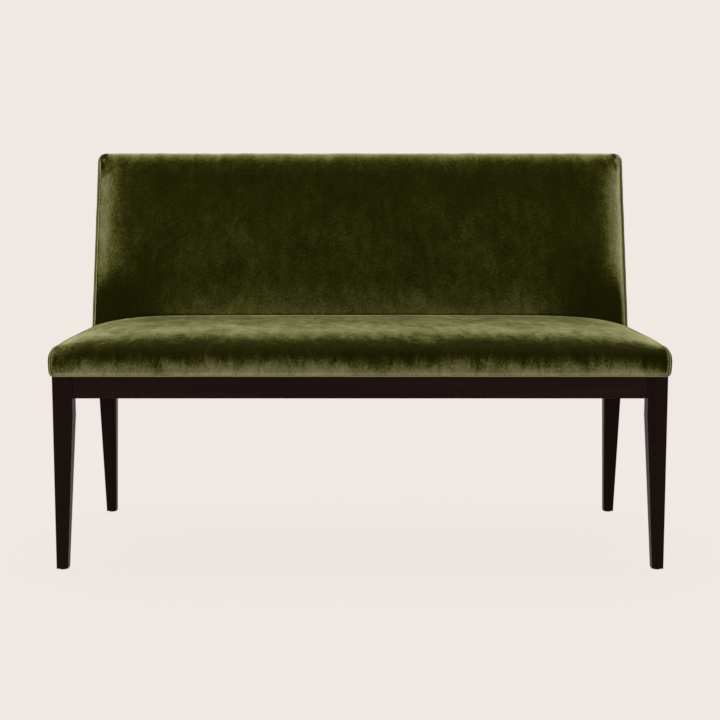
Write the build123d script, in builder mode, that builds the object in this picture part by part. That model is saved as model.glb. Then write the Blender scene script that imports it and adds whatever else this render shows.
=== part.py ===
from build123d import *
import os
from math import cos, exp, radians, sin, tan

# A long armless dining settee: a stained wood base, a drop-on upholstered seat and a leaning
# upholstered back. Millimetres, +Z up, the front faces -Y, the origin is on the floor under the
# middle of the whole settee.

# Overall
overall_height = 912.0
leg_spread = 1304.0  # over the outer faces of the legs
seat_proud = 9.0  # the seat's side panels stand this far outside the legs
back_proud = 8.0  # and the back's side panels
seat_run = 449.5  # from the legs' front faces to the back's front face, at the rails' top
back_lean = 15.8  # degrees from upright

# Clearances and cuts
soft_gap = 0.3  # between soft layers, and between them and wood
fit_gap = 0.1  # round a dowel, a screw or a nail
overrun = 5.0  # how far a cut runs past the face that it opens

# Base: legs, rails and glides
rail_top = 417.5  # height of the rails' top edge above the floor
rail_height = 46.0
rail_thickness = 24.0
rail_setback = 1.0  # the rails' faces lie this far behind the legs' faces
centre_rail_height = 40.0
leg_width = 42.0
leg_arris = 1.5  # rounding of the legs' long edges
rail_arris = 1.0
front_leg_depth = 36.0
rear_leg_depth = 34.0
foot_width = 24.5
front_foot_depth = 23.0
rear_foot_depth = 22.0
taper_drop = 40.0  # the taper starts this far below the rails
rear_rake = 77.0  # the rear feet stand this far behind the top of the rear legs
knee_radius = 110.0  # the bends of the rear legs, below and above the rails
glide_height = 2.5
glide_radius = 9.0
glide_nail_radius = 1.4
glide_nail_length = 18.0

# Corner blocks, dowels and screws
block_reach = 60.0  # along each rail, from the leg
block_height = 28.5
block_drop = 4.0  # the blocks' top lies this far below the rails' top
dowel_radius = 4.0
dowel_length = 36.0
dowel_high_shares = (0.22, 0.65)  # heights of a joint's two dowels in the front and rear rails
dowel_low_shares = (0.42, 0.86)  # and in the side rails
screw_radius = 2.0
screw_head_radius = 4.0
screw_head_height = 2.4
block_screw_length = 28.0
block_screw_grip = 14.0  # block wood under a block screw's head
block_screw_share = 0.5  # where it stands along the block's reach
seat_screw_bite = 15.0  # into the seat frame
seat_screw_inset = 18.0  # from the leg's inner corner, both ways
centre_screw_inset = 34.0  # from the front and rear rails

# Seat: cover, wadding, foam and frame
cover_thickness = 1.5
wadding_thickness = 5.5
seat_overhang = 10.0  # the seat's front bulge ahead of the legs
seat_edge_height = 71.5  # the side seam above the rails, where it meets the back
seat_crown = 25.5  # the middle of the seat above its side seams
seat_bulge = 15.0  # the side panels stand this far outside their seams
seat_edge_round = 14.0  # how far the side panels roll over
seat_hem_round = 9.0  # and how far they turn under at the hem
seat_rest_gap = 0.5  # between the seat's rear face and the back's front face
crown_fade = 70.0  # how quickly the crown rises from a side seam
hem_width = 26.0  # the cover's return under the seat frame
plank_thickness = 22.0
plank_width = 60.0
rear_plank_width = 80.0
plank_setback = 2.0  # the rear plank's edge ahead of the rear rail's face
rear_joint_shares = (0.08, 0.27)  # the side planks' dowels, along the rear plank's width
seat_pad_margin = 1.0  # between the wadding and the planks' outer edges
strap_thickness = 2.5
seat_strap_width = 60.0
seat_strap_count = 10
seat_strap_spread_share = 0.87  # of the seat frame's length, over the outer straps' middles
strap_end_margin = 8.0  # from a strap's end to the edge of the wood that holds it

# Back: cover, wadding, foam, frame and board
back_bulge = 8.0
back_edge_round = 13.0
back_crown = 11.0
back_crown_fade = 38.0
back_crown_lift = 8.0  # the crown starts this far above the seat
back_top_round = 18.0  # where the front panel turns over the top edge
back_foam_thickness = 20.0
board_thickness = 3.0
back_rail_width = 66.0
back_rail_lift = 4.0  # the bottom rail clears the seat frame by this much
stile_width = 44.0
stile_setback = 8.0  # the stile's front lies behind the back rails' front
back_strap_width = 50.0
back_strap_count = 8
back_strap_spread_share = 0.82

# Dust cover
dust_thickness = 0.8
dust_margin = 7.0  # from the rails' outer faces
staple_length = 10.0
staple_thickness = 1.1
staple_spacing = 90.0
staple_inset = 6.0  # from the cloth's edge

# Points of the seat's outline beside a side seam, from the hem up the front and back over the top:
# shares of the seat's depth, of its edge height and of its crown, and the way in from the cover
seat_outline_shares = (
    (0.008, 0.00, 0.00, 1.00, 0.00),
    (0.000, 0.33, 0.00, 1.00, 0.00),
    (0.010, 0.66, 0.16, 0.93, -0.37),
    (0.055, 0.82, 0.52, 0.45, -0.90),
    (0.150, 0.875, 0.74, 0.12, -1.00),
    (0.530, 0.95, 1.00, 0.03, -1.00),
)
# Heights up the back's front face, as shares from its crown's foot to its top edge, and the
# share of the crown there
back_outline_shares = ((0.0, 0.0), (0.266, 0.86), (0.57, 1.0), (0.823, 0.72))

# What follows from the sizes above
lean = radians(back_lean)
half_legs = leg_spread / 2
leg_inner = half_legs - leg_width
rail_bottom = rail_top - rail_height
taper_top = rail_bottom - taper_drop
cover_stack = cover_thickness + soft_gap + wadding_thickness + soft_gap
post_front = cover_stack + back_foam_thickness + soft_gap
post_rear = post_front + rear_leg_depth
cover_rear = post_rear + board_thickness + soft_gap
back_thickness = cover_rear + cover_thickness
top_arc_height = overall_height - rail_top - back_top_round * (1 - sin(lean))
back_length = back_top_round + top_arc_height / cos(lean)
back_crown_foot = (seat_edge_height + seat_crown) / cos(lean) + back_crown_lift
back_seam = half_legs + back_proud - back_bulge
seat_seam = half_legs + seat_proud - seat_bulge
overall_depth = seat_overhang + seat_run + back_length * sin(lean) + back_thickness * cos(lean)
leg_front = seat_overhang - overall_depth / 2  # Y of the front legs' front faces
rear_leg_front = leg_front + seat_run + post_front / cos(lean)
rear_leg_back = rear_leg_front + rear_leg_depth
rail_front = leg_front + rail_setback
rail_rear = rear_leg_back - rail_setback
side_rail_outer = half_legs - rail_setback
front_rail_back = rail_front + rail_thickness
rear_rail_front = rail_rear - rail_thickness
side_rail_inner = side_rail_outer - rail_thickness
block_top = rail_top - block_drop
block_bottom = block_top - block_height
plank_bottom = rail_top + cover_thickness
plank_top = plank_bottom + plank_thickness
strap_top = plank_top + strap_thickness
foam_bottom = strap_top + soft_gap


def back_point(up, behind):
    """Y and Z of a point of the leaning back, up its front plane and square behind it."""
    y = leg_front + seat_run + up * sin(lean) + behind * cos(lean)
    z = rail_top + up * cos(lean) - behind * sin(lean)
    return y, z


def back_foot(behind, height=rail_top):
    """Where a plane of the back, this far behind its front plane, passes a height."""
    up = (height - rail_top + behind * sin(lean)) / cos(lean)
    return back_point(up, behind)


def back_plane(up, behind):
    """A plane across the back's width: X along the settee, Z up the lean."""
    y, z = back_point(up, behind)
    return Plane(origin=(0, y, z), x_dir=(1, 0, 0), z_dir=(0, sin(lean), cos(lean)))


def box_between(x0, x1, y0, y1, z0, z1, mode=Mode.ADD):
    """A box given by its faces."""
    with Locations(((x0 + x1) / 2, (y0 + y1) / 2, (z0 + z1) / 2)):
        Box(abs(x1 - x0), abs(y1 - y0), abs(z1 - z0), mode=mode)


def drill(places, radius, length):
    """Round holes centred on each place, along its Z."""
    for place in places:
        with Locations(place):
            Cylinder(radius, length, mode=Mode.SUBTRACT)


def long_edges(part):
    """The edges of a leg that run up and down it."""
    return part.edges().filter_by(lambda edge: abs(edge.tangent_at(0.5).Z) > 0.5)


def other_side(part):
    """The same piece on the settee's left."""
    with BuildPart() as mirrored:
        mirror(part, about=Plane.YZ)
    return mirrored


# Where the dowels stand, as planes whose Z runs along the dowel
rail_middle_front = (rail_front + front_rail_back) / 2
rail_middle_rear = (rear_rail_front + rail_rear) / 2
rail_middle_side = (side_rail_inner + side_rail_outer) / 2
strap_seat = post_front + soft_gap + strap_thickness  # the back rails' front faces
rail_middle_back = (strap_seat + post_rear) / 2
back_top_edge = back_length - cover_stack
top_rail_foot = back_top_edge - back_rail_width
plank_reach = (plank_top - rail_top + post_rear * sin(lean)) / cos(lean)
bottom_rail_foot = plank_reach + back_rail_lift
bottom_rail_head = bottom_rail_foot + back_rail_width


def along_x(x, y, z):
    return Plane(origin=(x, y, z), x_dir=(0, 1, 0), z_dir=(1, 0, 0))


def along_y(x, y, z):
    return Plane(origin=(x, y, z), x_dir=(1, 0, 0), z_dir=(0, 1, 0))


def rail_heights(shares):
    return [rail_bottom + share * rail_height for share in shares]


front_dowels = [
    along_x(x, rail_middle_front, z)
    for x in (-leg_inner, leg_inner)
    for z in rail_heights(dowel_high_shares)
]
rear_dowels = [
    along_x(x, rail_middle_rear, z)
    for x in (-leg_inner, leg_inner)
    for z in rail_heights(dowel_high_shares)
]
side_dowels = [
    along_y(x, y, z)
    for x in (-rail_middle_side, rail_middle_side)
    for y in (leg_front + front_leg_depth, rear_leg_front)
    for z in rail_heights(dowel_low_shares)
]
centre_dowels = [
    along_y(x, y, rail_top - centre_rail_height / 2)
    for x in (-rail_thickness / 4, rail_thickness / 4)
    for y in (front_rail_back, rear_rail_front)
]
back_dowels = [
    along_x(x, *back_point(foot + share * back_rail_width, rail_middle_back))
    for x in (-leg_inner, leg_inner)
    for foot in (bottom_rail_foot, top_rail_foot)
    for share in dowel_high_shares
]
stile_dowels = []
for up in (bottom_rail_head, top_rail_foot):
    middle = back_plane(up, rail_middle_back)
    for x in (-stile_width / 4, stile_width / 4):
        stile_dowels.append(Plane(origin=middle.from_local_coords((x, 0, 0)), z_dir=middle.z_dir))

# Where the screws stand: the underside of each head, with Z towards the head
block_middle = (block_top + block_bottom) / 2
seat_screw_length = plank_bottom + seat_screw_bite - block_bottom
corners = (
    # the rail's inner face, the leg's inner face, and the way into the settee
    (front_rail_back, leg_front + front_leg_depth, 1),
    (rear_rail_front, rear_leg_front, -1),
)
block_screw_places = []
seat_screw_places = []
for side in (-1, 1):
    for rail_face, leg_face, inward in corners:
        block_screw_places.append(
            Plane(
                origin=(
                    side * (leg_inner - block_screw_share * block_reach),
                    rail_face + inward * block_screw_grip,
                    block_middle,
                ),
                z_dir=(0, inward, 0),
            )
        )
        block_screw_places.append(
            Plane(
                origin=(
                    side * (side_rail_inner - block_screw_grip),
                    leg_face + inward * block_screw_share * block_reach,
                    block_middle,
                ),
                z_dir=(-side, 0, 0),
            )
        )
        seat_screw_places.append(
            Plane(
                origin=(
                    side * (leg_inner - seat_screw_inset),
                    leg_face + inward * seat_screw_inset,
                    block_bottom,
                ),
                z_dir=(0, 0, -1),
            )
        )
for y in (front_rail_back + centre_screw_inset, rear_leg_front - centre_screw_inset):
    seat_screw_places.append(Plane(origin=(0, y, block_bottom), z_dir=(0, 0, -1)))


def screws(places, length):
    """Round-headed screws."""
    for place in places:
        with Locations(place):
            Cylinder(screw_radius, length, align=(Align.CENTER, Align.CENTER, Align.MAX))
            Cylinder(
                screw_head_radius,
                screw_head_height,
                align=(Align.CENTER, Align.CENTER, Align.MIN),
            )


def screw_holes(places, length, way_in=0):
    """The holes that screws bite in, and the way in for their heads where wood covers it."""
    for place in places:
        with Locations(place):
            Cylinder(
                screw_radius + fit_gap,
                length + fit_gap,
                align=(Align.CENTER, Align.CENTER, Align.MAX),
                mode=Mode.SUBTRACT,
            )
            if way_in:
                Cylinder(
                    screw_head_radius + fit_gap,
                    way_in,
                    align=(Align.CENTER, Align.CENTER, Align.MIN),
                    mode=Mode.SUBTRACT,
                )


# Base: front legs, plumb outside and in front, tapering on the two faces that turn inward
front_leg_sections = (
    (glide_height, foot_width, front_foot_depth),
    (taper_top, leg_width, front_leg_depth),
    (rail_top, leg_width, front_leg_depth),
)

with BuildPart() as front_leg_right:
    for height, width, depth in front_leg_sections:
        with BuildSketch(Plane.XY.offset(height)) as leg_section:
            with Locations((half_legs - width / 2, leg_front + depth / 2)):
                RectangleRounded(width, depth, leg_arris)
    loft(ruled=True)
    drill(front_dowels + side_dowels, dowel_radius + fit_gap, dowel_length)
    with Locations((half_legs - foot_width / 2, leg_front + front_foot_depth / 2, glide_height)):
        Cylinder(
            glide_nail_radius + fit_gap,
            glide_nail_length,
            align=(Align.CENTER, Align.CENTER, Align.MIN),
            mode=Mode.SUBTRACT,
        )

front_leg_left = other_side(front_leg_right.part)

# Rear legs: one plank each, raked below the rails and leaning above them, where it is a back post
rear_foot_front = rear_leg_front + rear_rake
post_top = back_point(back_top_edge, post_front)
post_top_rear = back_point(back_top_edge, post_rear)
knee_top = back_foot(post_front)
knee_top_rear = back_foot(post_rear)

with BuildPart() as rear_leg_right:
    with BuildSketch(Plane.YZ.offset(leg_inner)):
        with BuildLine():
            front_edge = FilletPolyline(
                (rear_foot_front, glide_height),
                (rear_leg_front, rail_bottom),
                knee_top,
                post_top,
                radius=(knee_radius, knee_radius),
            )
            rear_edge = FilletPolyline(
                (rear_foot_front + rear_foot_depth, glide_height),
                (rear_leg_back, rail_bottom),
                knee_top_rear,
                post_top_rear,
                radius=(knee_radius, knee_radius),
            )
            Line(front_edge @ 0, rear_edge @ 0)
            Line(front_edge @ 1, rear_edge @ 1)
        make_face()
    extrude(amount=leg_width)
    with BuildSketch(Plane.XZ.offset(-leg_front)):
        with BuildLine():
            Polyline(
                (leg_inner, taper_top),
                (half_legs - foot_width, glide_height),
                (leg_inner - overrun, glide_height),
                close=True,
            )
        make_face()
    extrude(amount=-overall_depth, mode=Mode.SUBTRACT)
    fillet(long_edges(rear_leg_right), leg_arris)
    drill(rear_dowels + side_dowels + back_dowels, dowel_radius + fit_gap, dowel_length)
    with Locations(
        (half_legs - foot_width / 2, rear_foot_front + rear_foot_depth / 2, glide_height)
    ):
        Cylinder(
            glide_nail_radius + fit_gap,
            glide_nail_length,
            align=(Align.CENTER, Align.CENTER, Align.MIN),
            mode=Mode.SUBTRACT,
        )

rear_leg_left = other_side(rear_leg_right.part)

# Glides: a nylon disc under each foot, with its nail
with BuildPart() as leg_glides:
    for side in (-1, 1):
        for y in (leg_front + front_foot_depth / 2, rear_foot_front + rear_foot_depth / 2):
            with Locations((side * (half_legs - foot_width / 2), y, 0)):
                Cylinder(glide_radius, glide_height, align=(Align.CENTER, Align.CENTER, Align.MIN))
                Cylinder(
                    glide_nail_radius,
                    glide_height + glide_nail_length - fit_gap,
                    align=(Align.CENTER, Align.CENTER, Align.MIN),
                )

# Rails of the base
with BuildPart() as front_rail:
    box_between(-leg_inner, leg_inner, rail_front, front_rail_back, rail_bottom, rail_top)
    fillet(front_rail.edges().filter_by(Axis.X), rail_arris)
    drill(front_dowels + centre_dowels, dowel_radius + fit_gap, dowel_length)
    screw_holes(block_screw_places, block_screw_length)

with BuildPart() as rear_rail:
    box_between(-leg_inner, leg_inner, rear_rail_front, rail_rear, rail_bottom, rail_top)
    fillet(rear_rail.edges().filter_by(Axis.X), rail_arris)
    drill(rear_dowels + centre_dowels, dowel_radius + fit_gap, dowel_length)
    screw_holes(block_screw_places, block_screw_length)

with BuildPart() as side_rail_right:
    box_between(
        side_rail_inner,
        side_rail_outer,
        leg_front + front_leg_depth,
        rear_leg_front,
        rail_bottom,
        rail_top,
    )
    fillet(side_rail_right.edges().filter_by(Axis.Y), rail_arris)
    drill(side_dowels, dowel_radius + fit_gap, dowel_length)
    screw_holes(block_screw_places, block_screw_length)

side_rail_left = other_side(side_rail_right.part)

with BuildPart() as centre_rail:
    box_between(
        -rail_thickness / 2,
        rail_thickness / 2,
        front_rail_back,
        rear_rail_front,
        rail_top - centre_rail_height,
        rail_top,
    )
    drill(centre_dowels, dowel_radius + fit_gap, dowel_length)
    screw_holes(seat_screw_places, seat_screw_length, way_in=rail_height)

# Corner blocks: glued and screwed into the four corners, notched round the legs
with BuildPart() as corner_blocks:
    with BuildSketch(Plane.XY.offset(block_bottom)):
        for side in (-1, 1):
            for rail_face, leg_face, inward in corners:
                with BuildLine():
                    Polyline(
                        (side * (leg_inner - block_reach), rail_face),
                        (side * leg_inner, rail_face),
                        (side * leg_inner, leg_face),
                        (side * side_rail_inner, leg_face),
                        (side * side_rail_inner, leg_face + inward * block_reach),
                        close=True,
                    )
                make_face()
    extrude(amount=block_height)
    screw_holes(block_screw_places, block_screw_length, way_in=block_reach)
    screw_holes(seat_screw_places, seat_screw_length)

with BuildPart() as corner_block_screws:
    screws(block_screw_places, block_screw_length)

with BuildPart() as seat_screws:
    screws(seat_screw_places, seat_screw_length)

# Dowels of the base and of the back's frame
frame_dowel_places = (
    front_dowels + rear_dowels + side_dowels + centre_dowels + back_dowels + stile_dowels
)

with BuildPart() as frame_dowels:
    for place in frame_dowel_places:
        with Locations(place):
            Cylinder(dowel_radius, dowel_length - fit_gap)

# Seat frame: planks laid flat on the rails, which carry the webbing
pad_inset = cover_stack + seat_pad_margin
plank_front = leg_front + pad_inset
plank_half = half_legs - pad_inset
plank_rear = rail_rear - plank_setback
rear_plank_front = plank_rear - rear_plank_width
side_plank_inner = plank_half - plank_width
plank_middle = (plank_bottom + plank_top) / 2
seat_frame_dowel_places = [
    along_x(side * side_plank_inner, rear_plank_front + share * rear_plank_width, plank_middle)
    for side in (-1, 1)
    for share in rear_joint_shares
]
for x in (-side_plank_inner - plank_width / 2, 0, side_plank_inner + plank_width / 2):
    for y in (plank_front + plank_width, rear_plank_front):
        if x == 0 or y < rear_plank_front:
            for shift in (-plank_width / 6, plank_width / 6):
                seat_frame_dowel_places.append(along_y(x + shift, y, plank_middle))


def seat_plank(x0, x1, y0, y1):
    """A plank of the seat frame, drilled for its dowels and the seat's screws."""
    with BuildPart() as plank:
        box_between(x0, x1, y0, y1, plank_bottom, plank_top)
        drill(seat_frame_dowel_places, dowel_radius + fit_gap, dowel_length)
        screw_holes(seat_screw_places, seat_screw_length)
    return plank


seat_frame_front = seat_plank(-plank_half, plank_half, plank_front, plank_front + plank_width)
seat_frame_rear = seat_plank(-side_plank_inner, side_plank_inner, rear_plank_front, plank_rear)
seat_frame_side_right = seat_plank(
    side_plank_inner, plank_half, plank_front + plank_width, rear_leg_front - soft_gap
)
seat_frame_side_left = other_side(seat_frame_side_right.part)
seat_frame_centre = seat_plank(
    -plank_width / 2, plank_width / 2, plank_front + plank_width, rear_plank_front
)

with BuildPart() as seat_frame_dowels:
    for place in seat_frame_dowel_places:
        with Locations(place):
            Cylinder(dowel_radius, dowel_length - fit_gap)

# Seat webbing: straps stretched from the front plank to the rear one
seat_strap_rear = leg_front + seat_run - seat_rest_gap - cover_thickness - soft_gap
seat_strap_front = plank_front + strap_end_margin
seat_strap_pitch = seat_strap_spread_share * 2 * plank_half / (seat_strap_count - 1)

with BuildPart() as seat_webbing:
    with Locations((0, (seat_strap_front + seat_strap_rear) / 2, plank_top)):
        with GridLocations(seat_strap_pitch, 0, seat_strap_count, 1):
            Box(
                seat_strap_width,
                seat_strap_rear - seat_strap_front,
                strap_thickness,
                align=(Align.CENTER, Align.CENTER, Align.MIN),
            )

# Seat upholstery. Every layer is the same crowned form, drawn in from the cover's face. Its
# sections stand across the settee: close together near the side seams, where the crown rises.
station_shares = (0.0, 0.03, 0.08, 0.16, 0.28, 0.45, 0.70, 1.0)  # from a seam to the middle
side_turns = [radians(turn) for turn in (0, 22.5, 45, 67.5, 90)]  # over a side panel's bulge


def stations(seam):
    """Section places from the left seam to the right one."""
    left = [-seam * (1 - share) for share in station_shares]
    return left + [-x for x in reversed(left[:-1])]


def seat_section(x, inset, foot, rear_inset):
    """The seat's outline at x, drawn in by inset, standing on the height foot."""
    crown = seat_crown * (1 - exp(-max(seat_seam - abs(x), 0) / crown_fade))
    points = []
    for depth_share, height_share, crown_share, inward_y, inward_z in seat_outline_shares:
        y = leg_front - seat_overhang + depth_share * (seat_overhang + seat_run)
        z = rail_top + height_share * seat_edge_height + crown_share * crown
        points.append((y + inward_y * inset, z + inward_z * inset))
    points[0] = (points[0][0], foot)
    rear = leg_front + seat_run - seat_rest_gap - rear_inset / cos(lean)
    head = rail_top + seat_edge_height + crown - inset
    rear_head = (rear + (head - rail_top) * tan(lean), head)
    rear_foot = (rear + (foot - rail_top) * tan(lean), foot)
    with BuildSketch(Plane.YZ.offset(x)) as section:
        with BuildLine():
            Spline(*points, rear_head)
            Polyline(rear_head, rear_foot, points[0])
        make_face()
    return section.sketch


def seat_middle(inset, foot, rear_inset):
    """The seat between its side seams."""
    return [seat_section(x, inset, foot, rear_inset) for x in stations(seat_seam)]


def seat_side(inset, foot, rear_inset):
    """The seat's right end outside its seam: a pillow that rolls over at its edge."""
    sections = []
    for turn in side_turns:
        x = seat_seam + (seat_bulge - inset) * sin(turn)
        edge = inset + (seat_edge_round - inset) * (1 - cos(turn))
        hem = foot + seat_hem_round * (1 - cos(turn))
        sections.append(seat_section(x, edge, hem, rear_inset))
    return sections


with BuildPart() as seat_cover:
    loft(seat_middle(0, rail_top, 0))
    loft(seat_middle(cover_thickness, plank_bottom, cover_thickness), mode=Mode.SUBTRACT)
    # under the seat frame only the hem stays, and behind it the cover ends on the frame
    box_between(
        hem_width - seat_seam,
        seat_seam - hem_width,
        leg_front + hem_width,
        leg_front + seat_run + overrun,
        rail_top - overrun,
        plank_bottom + overrun,
        mode=Mode.SUBTRACT,
    )
    box_between(
        -seat_seam - overrun,
        seat_seam + overrun,
        leg_front + seat_run - hem_width,
        leg_front + seat_run + hem_width,
        plank_bottom,
        plank_top + soft_gap,
        mode=Mode.SUBTRACT,
    )

with BuildPart() as seat_side_panel_right:
    loft(seat_side(0, rail_top + soft_gap, 0))
    loft(seat_side(cover_thickness, plank_bottom, cover_thickness), mode=Mode.SUBTRACT)

seat_side_panel_left = other_side(seat_side_panel_right.part)

wadding_face = cover_thickness + soft_gap
wadding_back = wadding_face + wadding_thickness
pad_foot = plank_bottom + soft_gap

with BuildPart() as seat_side_pad_right:
    loft(seat_side(wadding_face, pad_foot, wadding_face))

seat_side_pad_left = other_side(seat_side_pad_right.part)

with BuildPart() as seat_wadding:
    loft(seat_middle(wadding_face, pad_foot, wadding_face))
    loft(seat_middle(wadding_back, pad_foot, wadding_face), mode=Mode.SUBTRACT)

with BuildPart() as seat_foam:
    loft(seat_middle(cover_stack, pad_foot, wadding_face))
    split(bisect_by=Plane.XY.offset(foam_bottom), keep=Keep.TOP)

# The back's frame between the posts


def lean_box(x0, x1, up0, up1, behind0, behind1):
    """A box in the leaning back: across, up the lean and square behind the front plane."""
    y, z = back_point((up0 + up1) / 2, (behind0 + behind1) / 2)
    middle = Plane(origin=((x0 + x1) / 2, y, z), x_dir=(1, 0, 0), z_dir=(0, sin(lean), cos(lean)))
    with Locations(middle):
        Box(abs(x1 - x0), abs(behind1 - behind0), abs(up1 - up0))


with BuildPart() as back_top_rail:
    lean_box(-leg_inner, leg_inner, top_rail_foot, back_top_edge, strap_seat, post_rear)
    drill(back_dowels + stile_dowels, dowel_radius + fit_gap, dowel_length)

with BuildPart() as back_bottom_rail:
    lean_box(-leg_inner, leg_inner, bottom_rail_foot, bottom_rail_head, strap_seat, post_rear)
    drill(back_dowels + stile_dowels, dowel_radius + fit_gap, dowel_length)

with BuildPart() as back_centre_stile:
    lean_box(
        -stile_width / 2,
        stile_width / 2,
        bottom_rail_head,
        top_rail_foot,
        strap_seat + stile_setback,
        post_rear,
    )
    drill(stile_dowels, dowel_radius + fit_gap, dowel_length)

# Back webbing: upright straps on the front faces of the back rails
back_strap_pitch = back_strap_spread_share * 2 * leg_inner / (back_strap_count - 1)

with BuildPart() as back_webbing:
    for number in range(back_strap_count):
        x = (number - (back_strap_count - 1) / 2) * back_strap_pitch
        lean_box(
            x - back_strap_width / 2,
            x + back_strap_width / 2,
            bottom_rail_foot + strap_end_margin,
            back_top_edge - strap_end_margin,
            strap_seat - strap_thickness,
            strap_seat,
        )

# Back upholstery: the same way as the seat, with sections across the settee
back_pad_foot = plank_top + soft_gap


def back_section(x, inset, foot, rear):
    """The back's outline at x, drawn in by inset, from the height foot to the plane rear."""
    crown = back_crown * (1 - exp(-max(back_seam - abs(x), 0) / back_crown_fade))
    points = [back_foot(inset, foot)]
    for height_share, crown_share in back_outline_shares:
        up = back_crown_foot + height_share * (back_length - back_crown_foot)
        points.append(back_point(up, inset - crown_share * crown))
    arc_radius = back_top_round - inset
    for turn, crown_share in ((0, 0.3), (radians(45), 0.1), (radians(90), 0)):
        up = back_length - back_top_round + arc_radius * sin(turn)
        behind = back_top_round - arc_radius * cos(turn) - crown_share * crown
        points.append(back_point(up, behind))
    with BuildSketch(Plane.YZ.offset(x)) as section:
        with BuildLine():
            Spline(*points)
            Polyline(
                points[-1],
                back_point(back_length - inset, rear),
                back_foot(rear, foot),
                points[0],
            )
        make_face()
    return section.sketch


def back_middle(inset, foot, rear):
    """The back between its side seams."""
    return [back_section(x, inset, foot, rear) for x in stations(back_seam)]


def back_side(inset, foot, rear):
    """The back's right end outside its seam, rolled over at the front, top and rear."""
    sections = []
    for turn in side_turns:
        x = back_seam + (back_bulge - inset) * sin(turn)
        roll = (back_edge_round - inset) * (1 - cos(turn))
        sections.append(back_section(x, inset + roll, foot, rear - roll))
    return sections


with BuildPart() as back_front_cover:
    loft(back_middle(0, back_pad_foot, cover_rear))
    loft(back_middle(cover_thickness, back_pad_foot, cover_rear), mode=Mode.SUBTRACT)

with BuildPart() as back_side_panel_right:
    loft(back_side(0, rail_top, back_thickness))
    loft(
        back_side(cover_thickness, rail_top, back_thickness - cover_thickness),
        mode=Mode.SUBTRACT,
    )

back_side_panel_left = other_side(back_side_panel_right.part)

with BuildPart() as back_side_pad_right:
    loft(back_side(wadding_face, rail_top, back_thickness - wadding_face))

back_side_pad_left = other_side(back_side_pad_right.part)

with BuildPart() as back_wadding:
    loft(back_middle(wadding_face, back_pad_foot, post_rear))
    loft(back_middle(wadding_back, back_pad_foot, post_rear), mode=Mode.SUBTRACT)

with BuildPart() as back_foam:
    loft(back_middle(cover_stack, back_pad_foot, post_front - soft_gap))

# The stiff board behind the posts, and the outside cover over it, turned in on the rear rail
board_foot = rail_top + knee_radius * tan(lean / 2) + soft_gap

with BuildPart() as back_board:
    with BuildSketch(Plane.YZ.offset(-back_seam)):
        with BuildLine():
            Polyline(
                back_foot(post_rear, board_foot),
                back_foot(post_rear + board_thickness, board_foot),
                back_point(back_length - wadding_face, post_rear + board_thickness),
                back_point(back_length - wadding_face, post_rear),
                close=True,
            )
        make_face()
    extrude(amount=2 * back_seam)

with BuildPart() as back_outer_cover:
    with BuildSketch(Plane.YZ.offset(-back_seam)):
        with BuildLine():
            Polyline(
                back_foot(cover_rear),
                back_foot(back_thickness),
                back_point(back_length, back_thickness),
                back_point(back_length, cover_rear),
                close=True,
            )
        make_face()
    extrude(amount=2 * back_seam)
    box_between(
        soft_gap - leg_inner,
        leg_inner - soft_gap,
        rear_rail_front + rail_arris,
        back_foot(back_thickness)[0],
        rail_top,
        plank_bottom,
    )

# Dust cover: thin black cloth stapled under the rails, notched round the legs
dust_half = side_rail_outer - dust_margin
dust_front = rail_front + dust_margin
dust_rear = rail_rear - dust_margin

with BuildPart() as dust_cover:
    box_between(-dust_half, dust_half, dust_front, dust_rear, rail_bottom - dust_thickness, rail_bottom)
    for side in (-1, 1):
        for leg_face, outward in (
            (leg_front + front_leg_depth, -1),
            (rear_leg_front, 1),
        ):
            box_between(
                side * (leg_inner - soft_gap),
                side * (half_legs + overrun),
                leg_face - outward * knee_radius * (1 - cos(lean)),
                leg_face + outward * (leg_width + overrun),
                rail_bottom - dust_thickness - overrun,
                rail_bottom + overrun,
                mode=Mode.SUBTRACT,
            )

staple_count = round(2 * leg_inner / staple_spacing)
staple_height = rail_bottom - dust_thickness - staple_thickness / 2

with BuildPart() as dust_cover_staples:
    for number in range(staple_count):
        x = (number - (staple_count - 1) / 2) * staple_spacing
        for y in (dust_front + staple_inset, dust_rear - staple_inset):
            with Locations((x, y, staple_height)):
                Box(staple_length, staple_thickness, staple_thickness)

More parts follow.
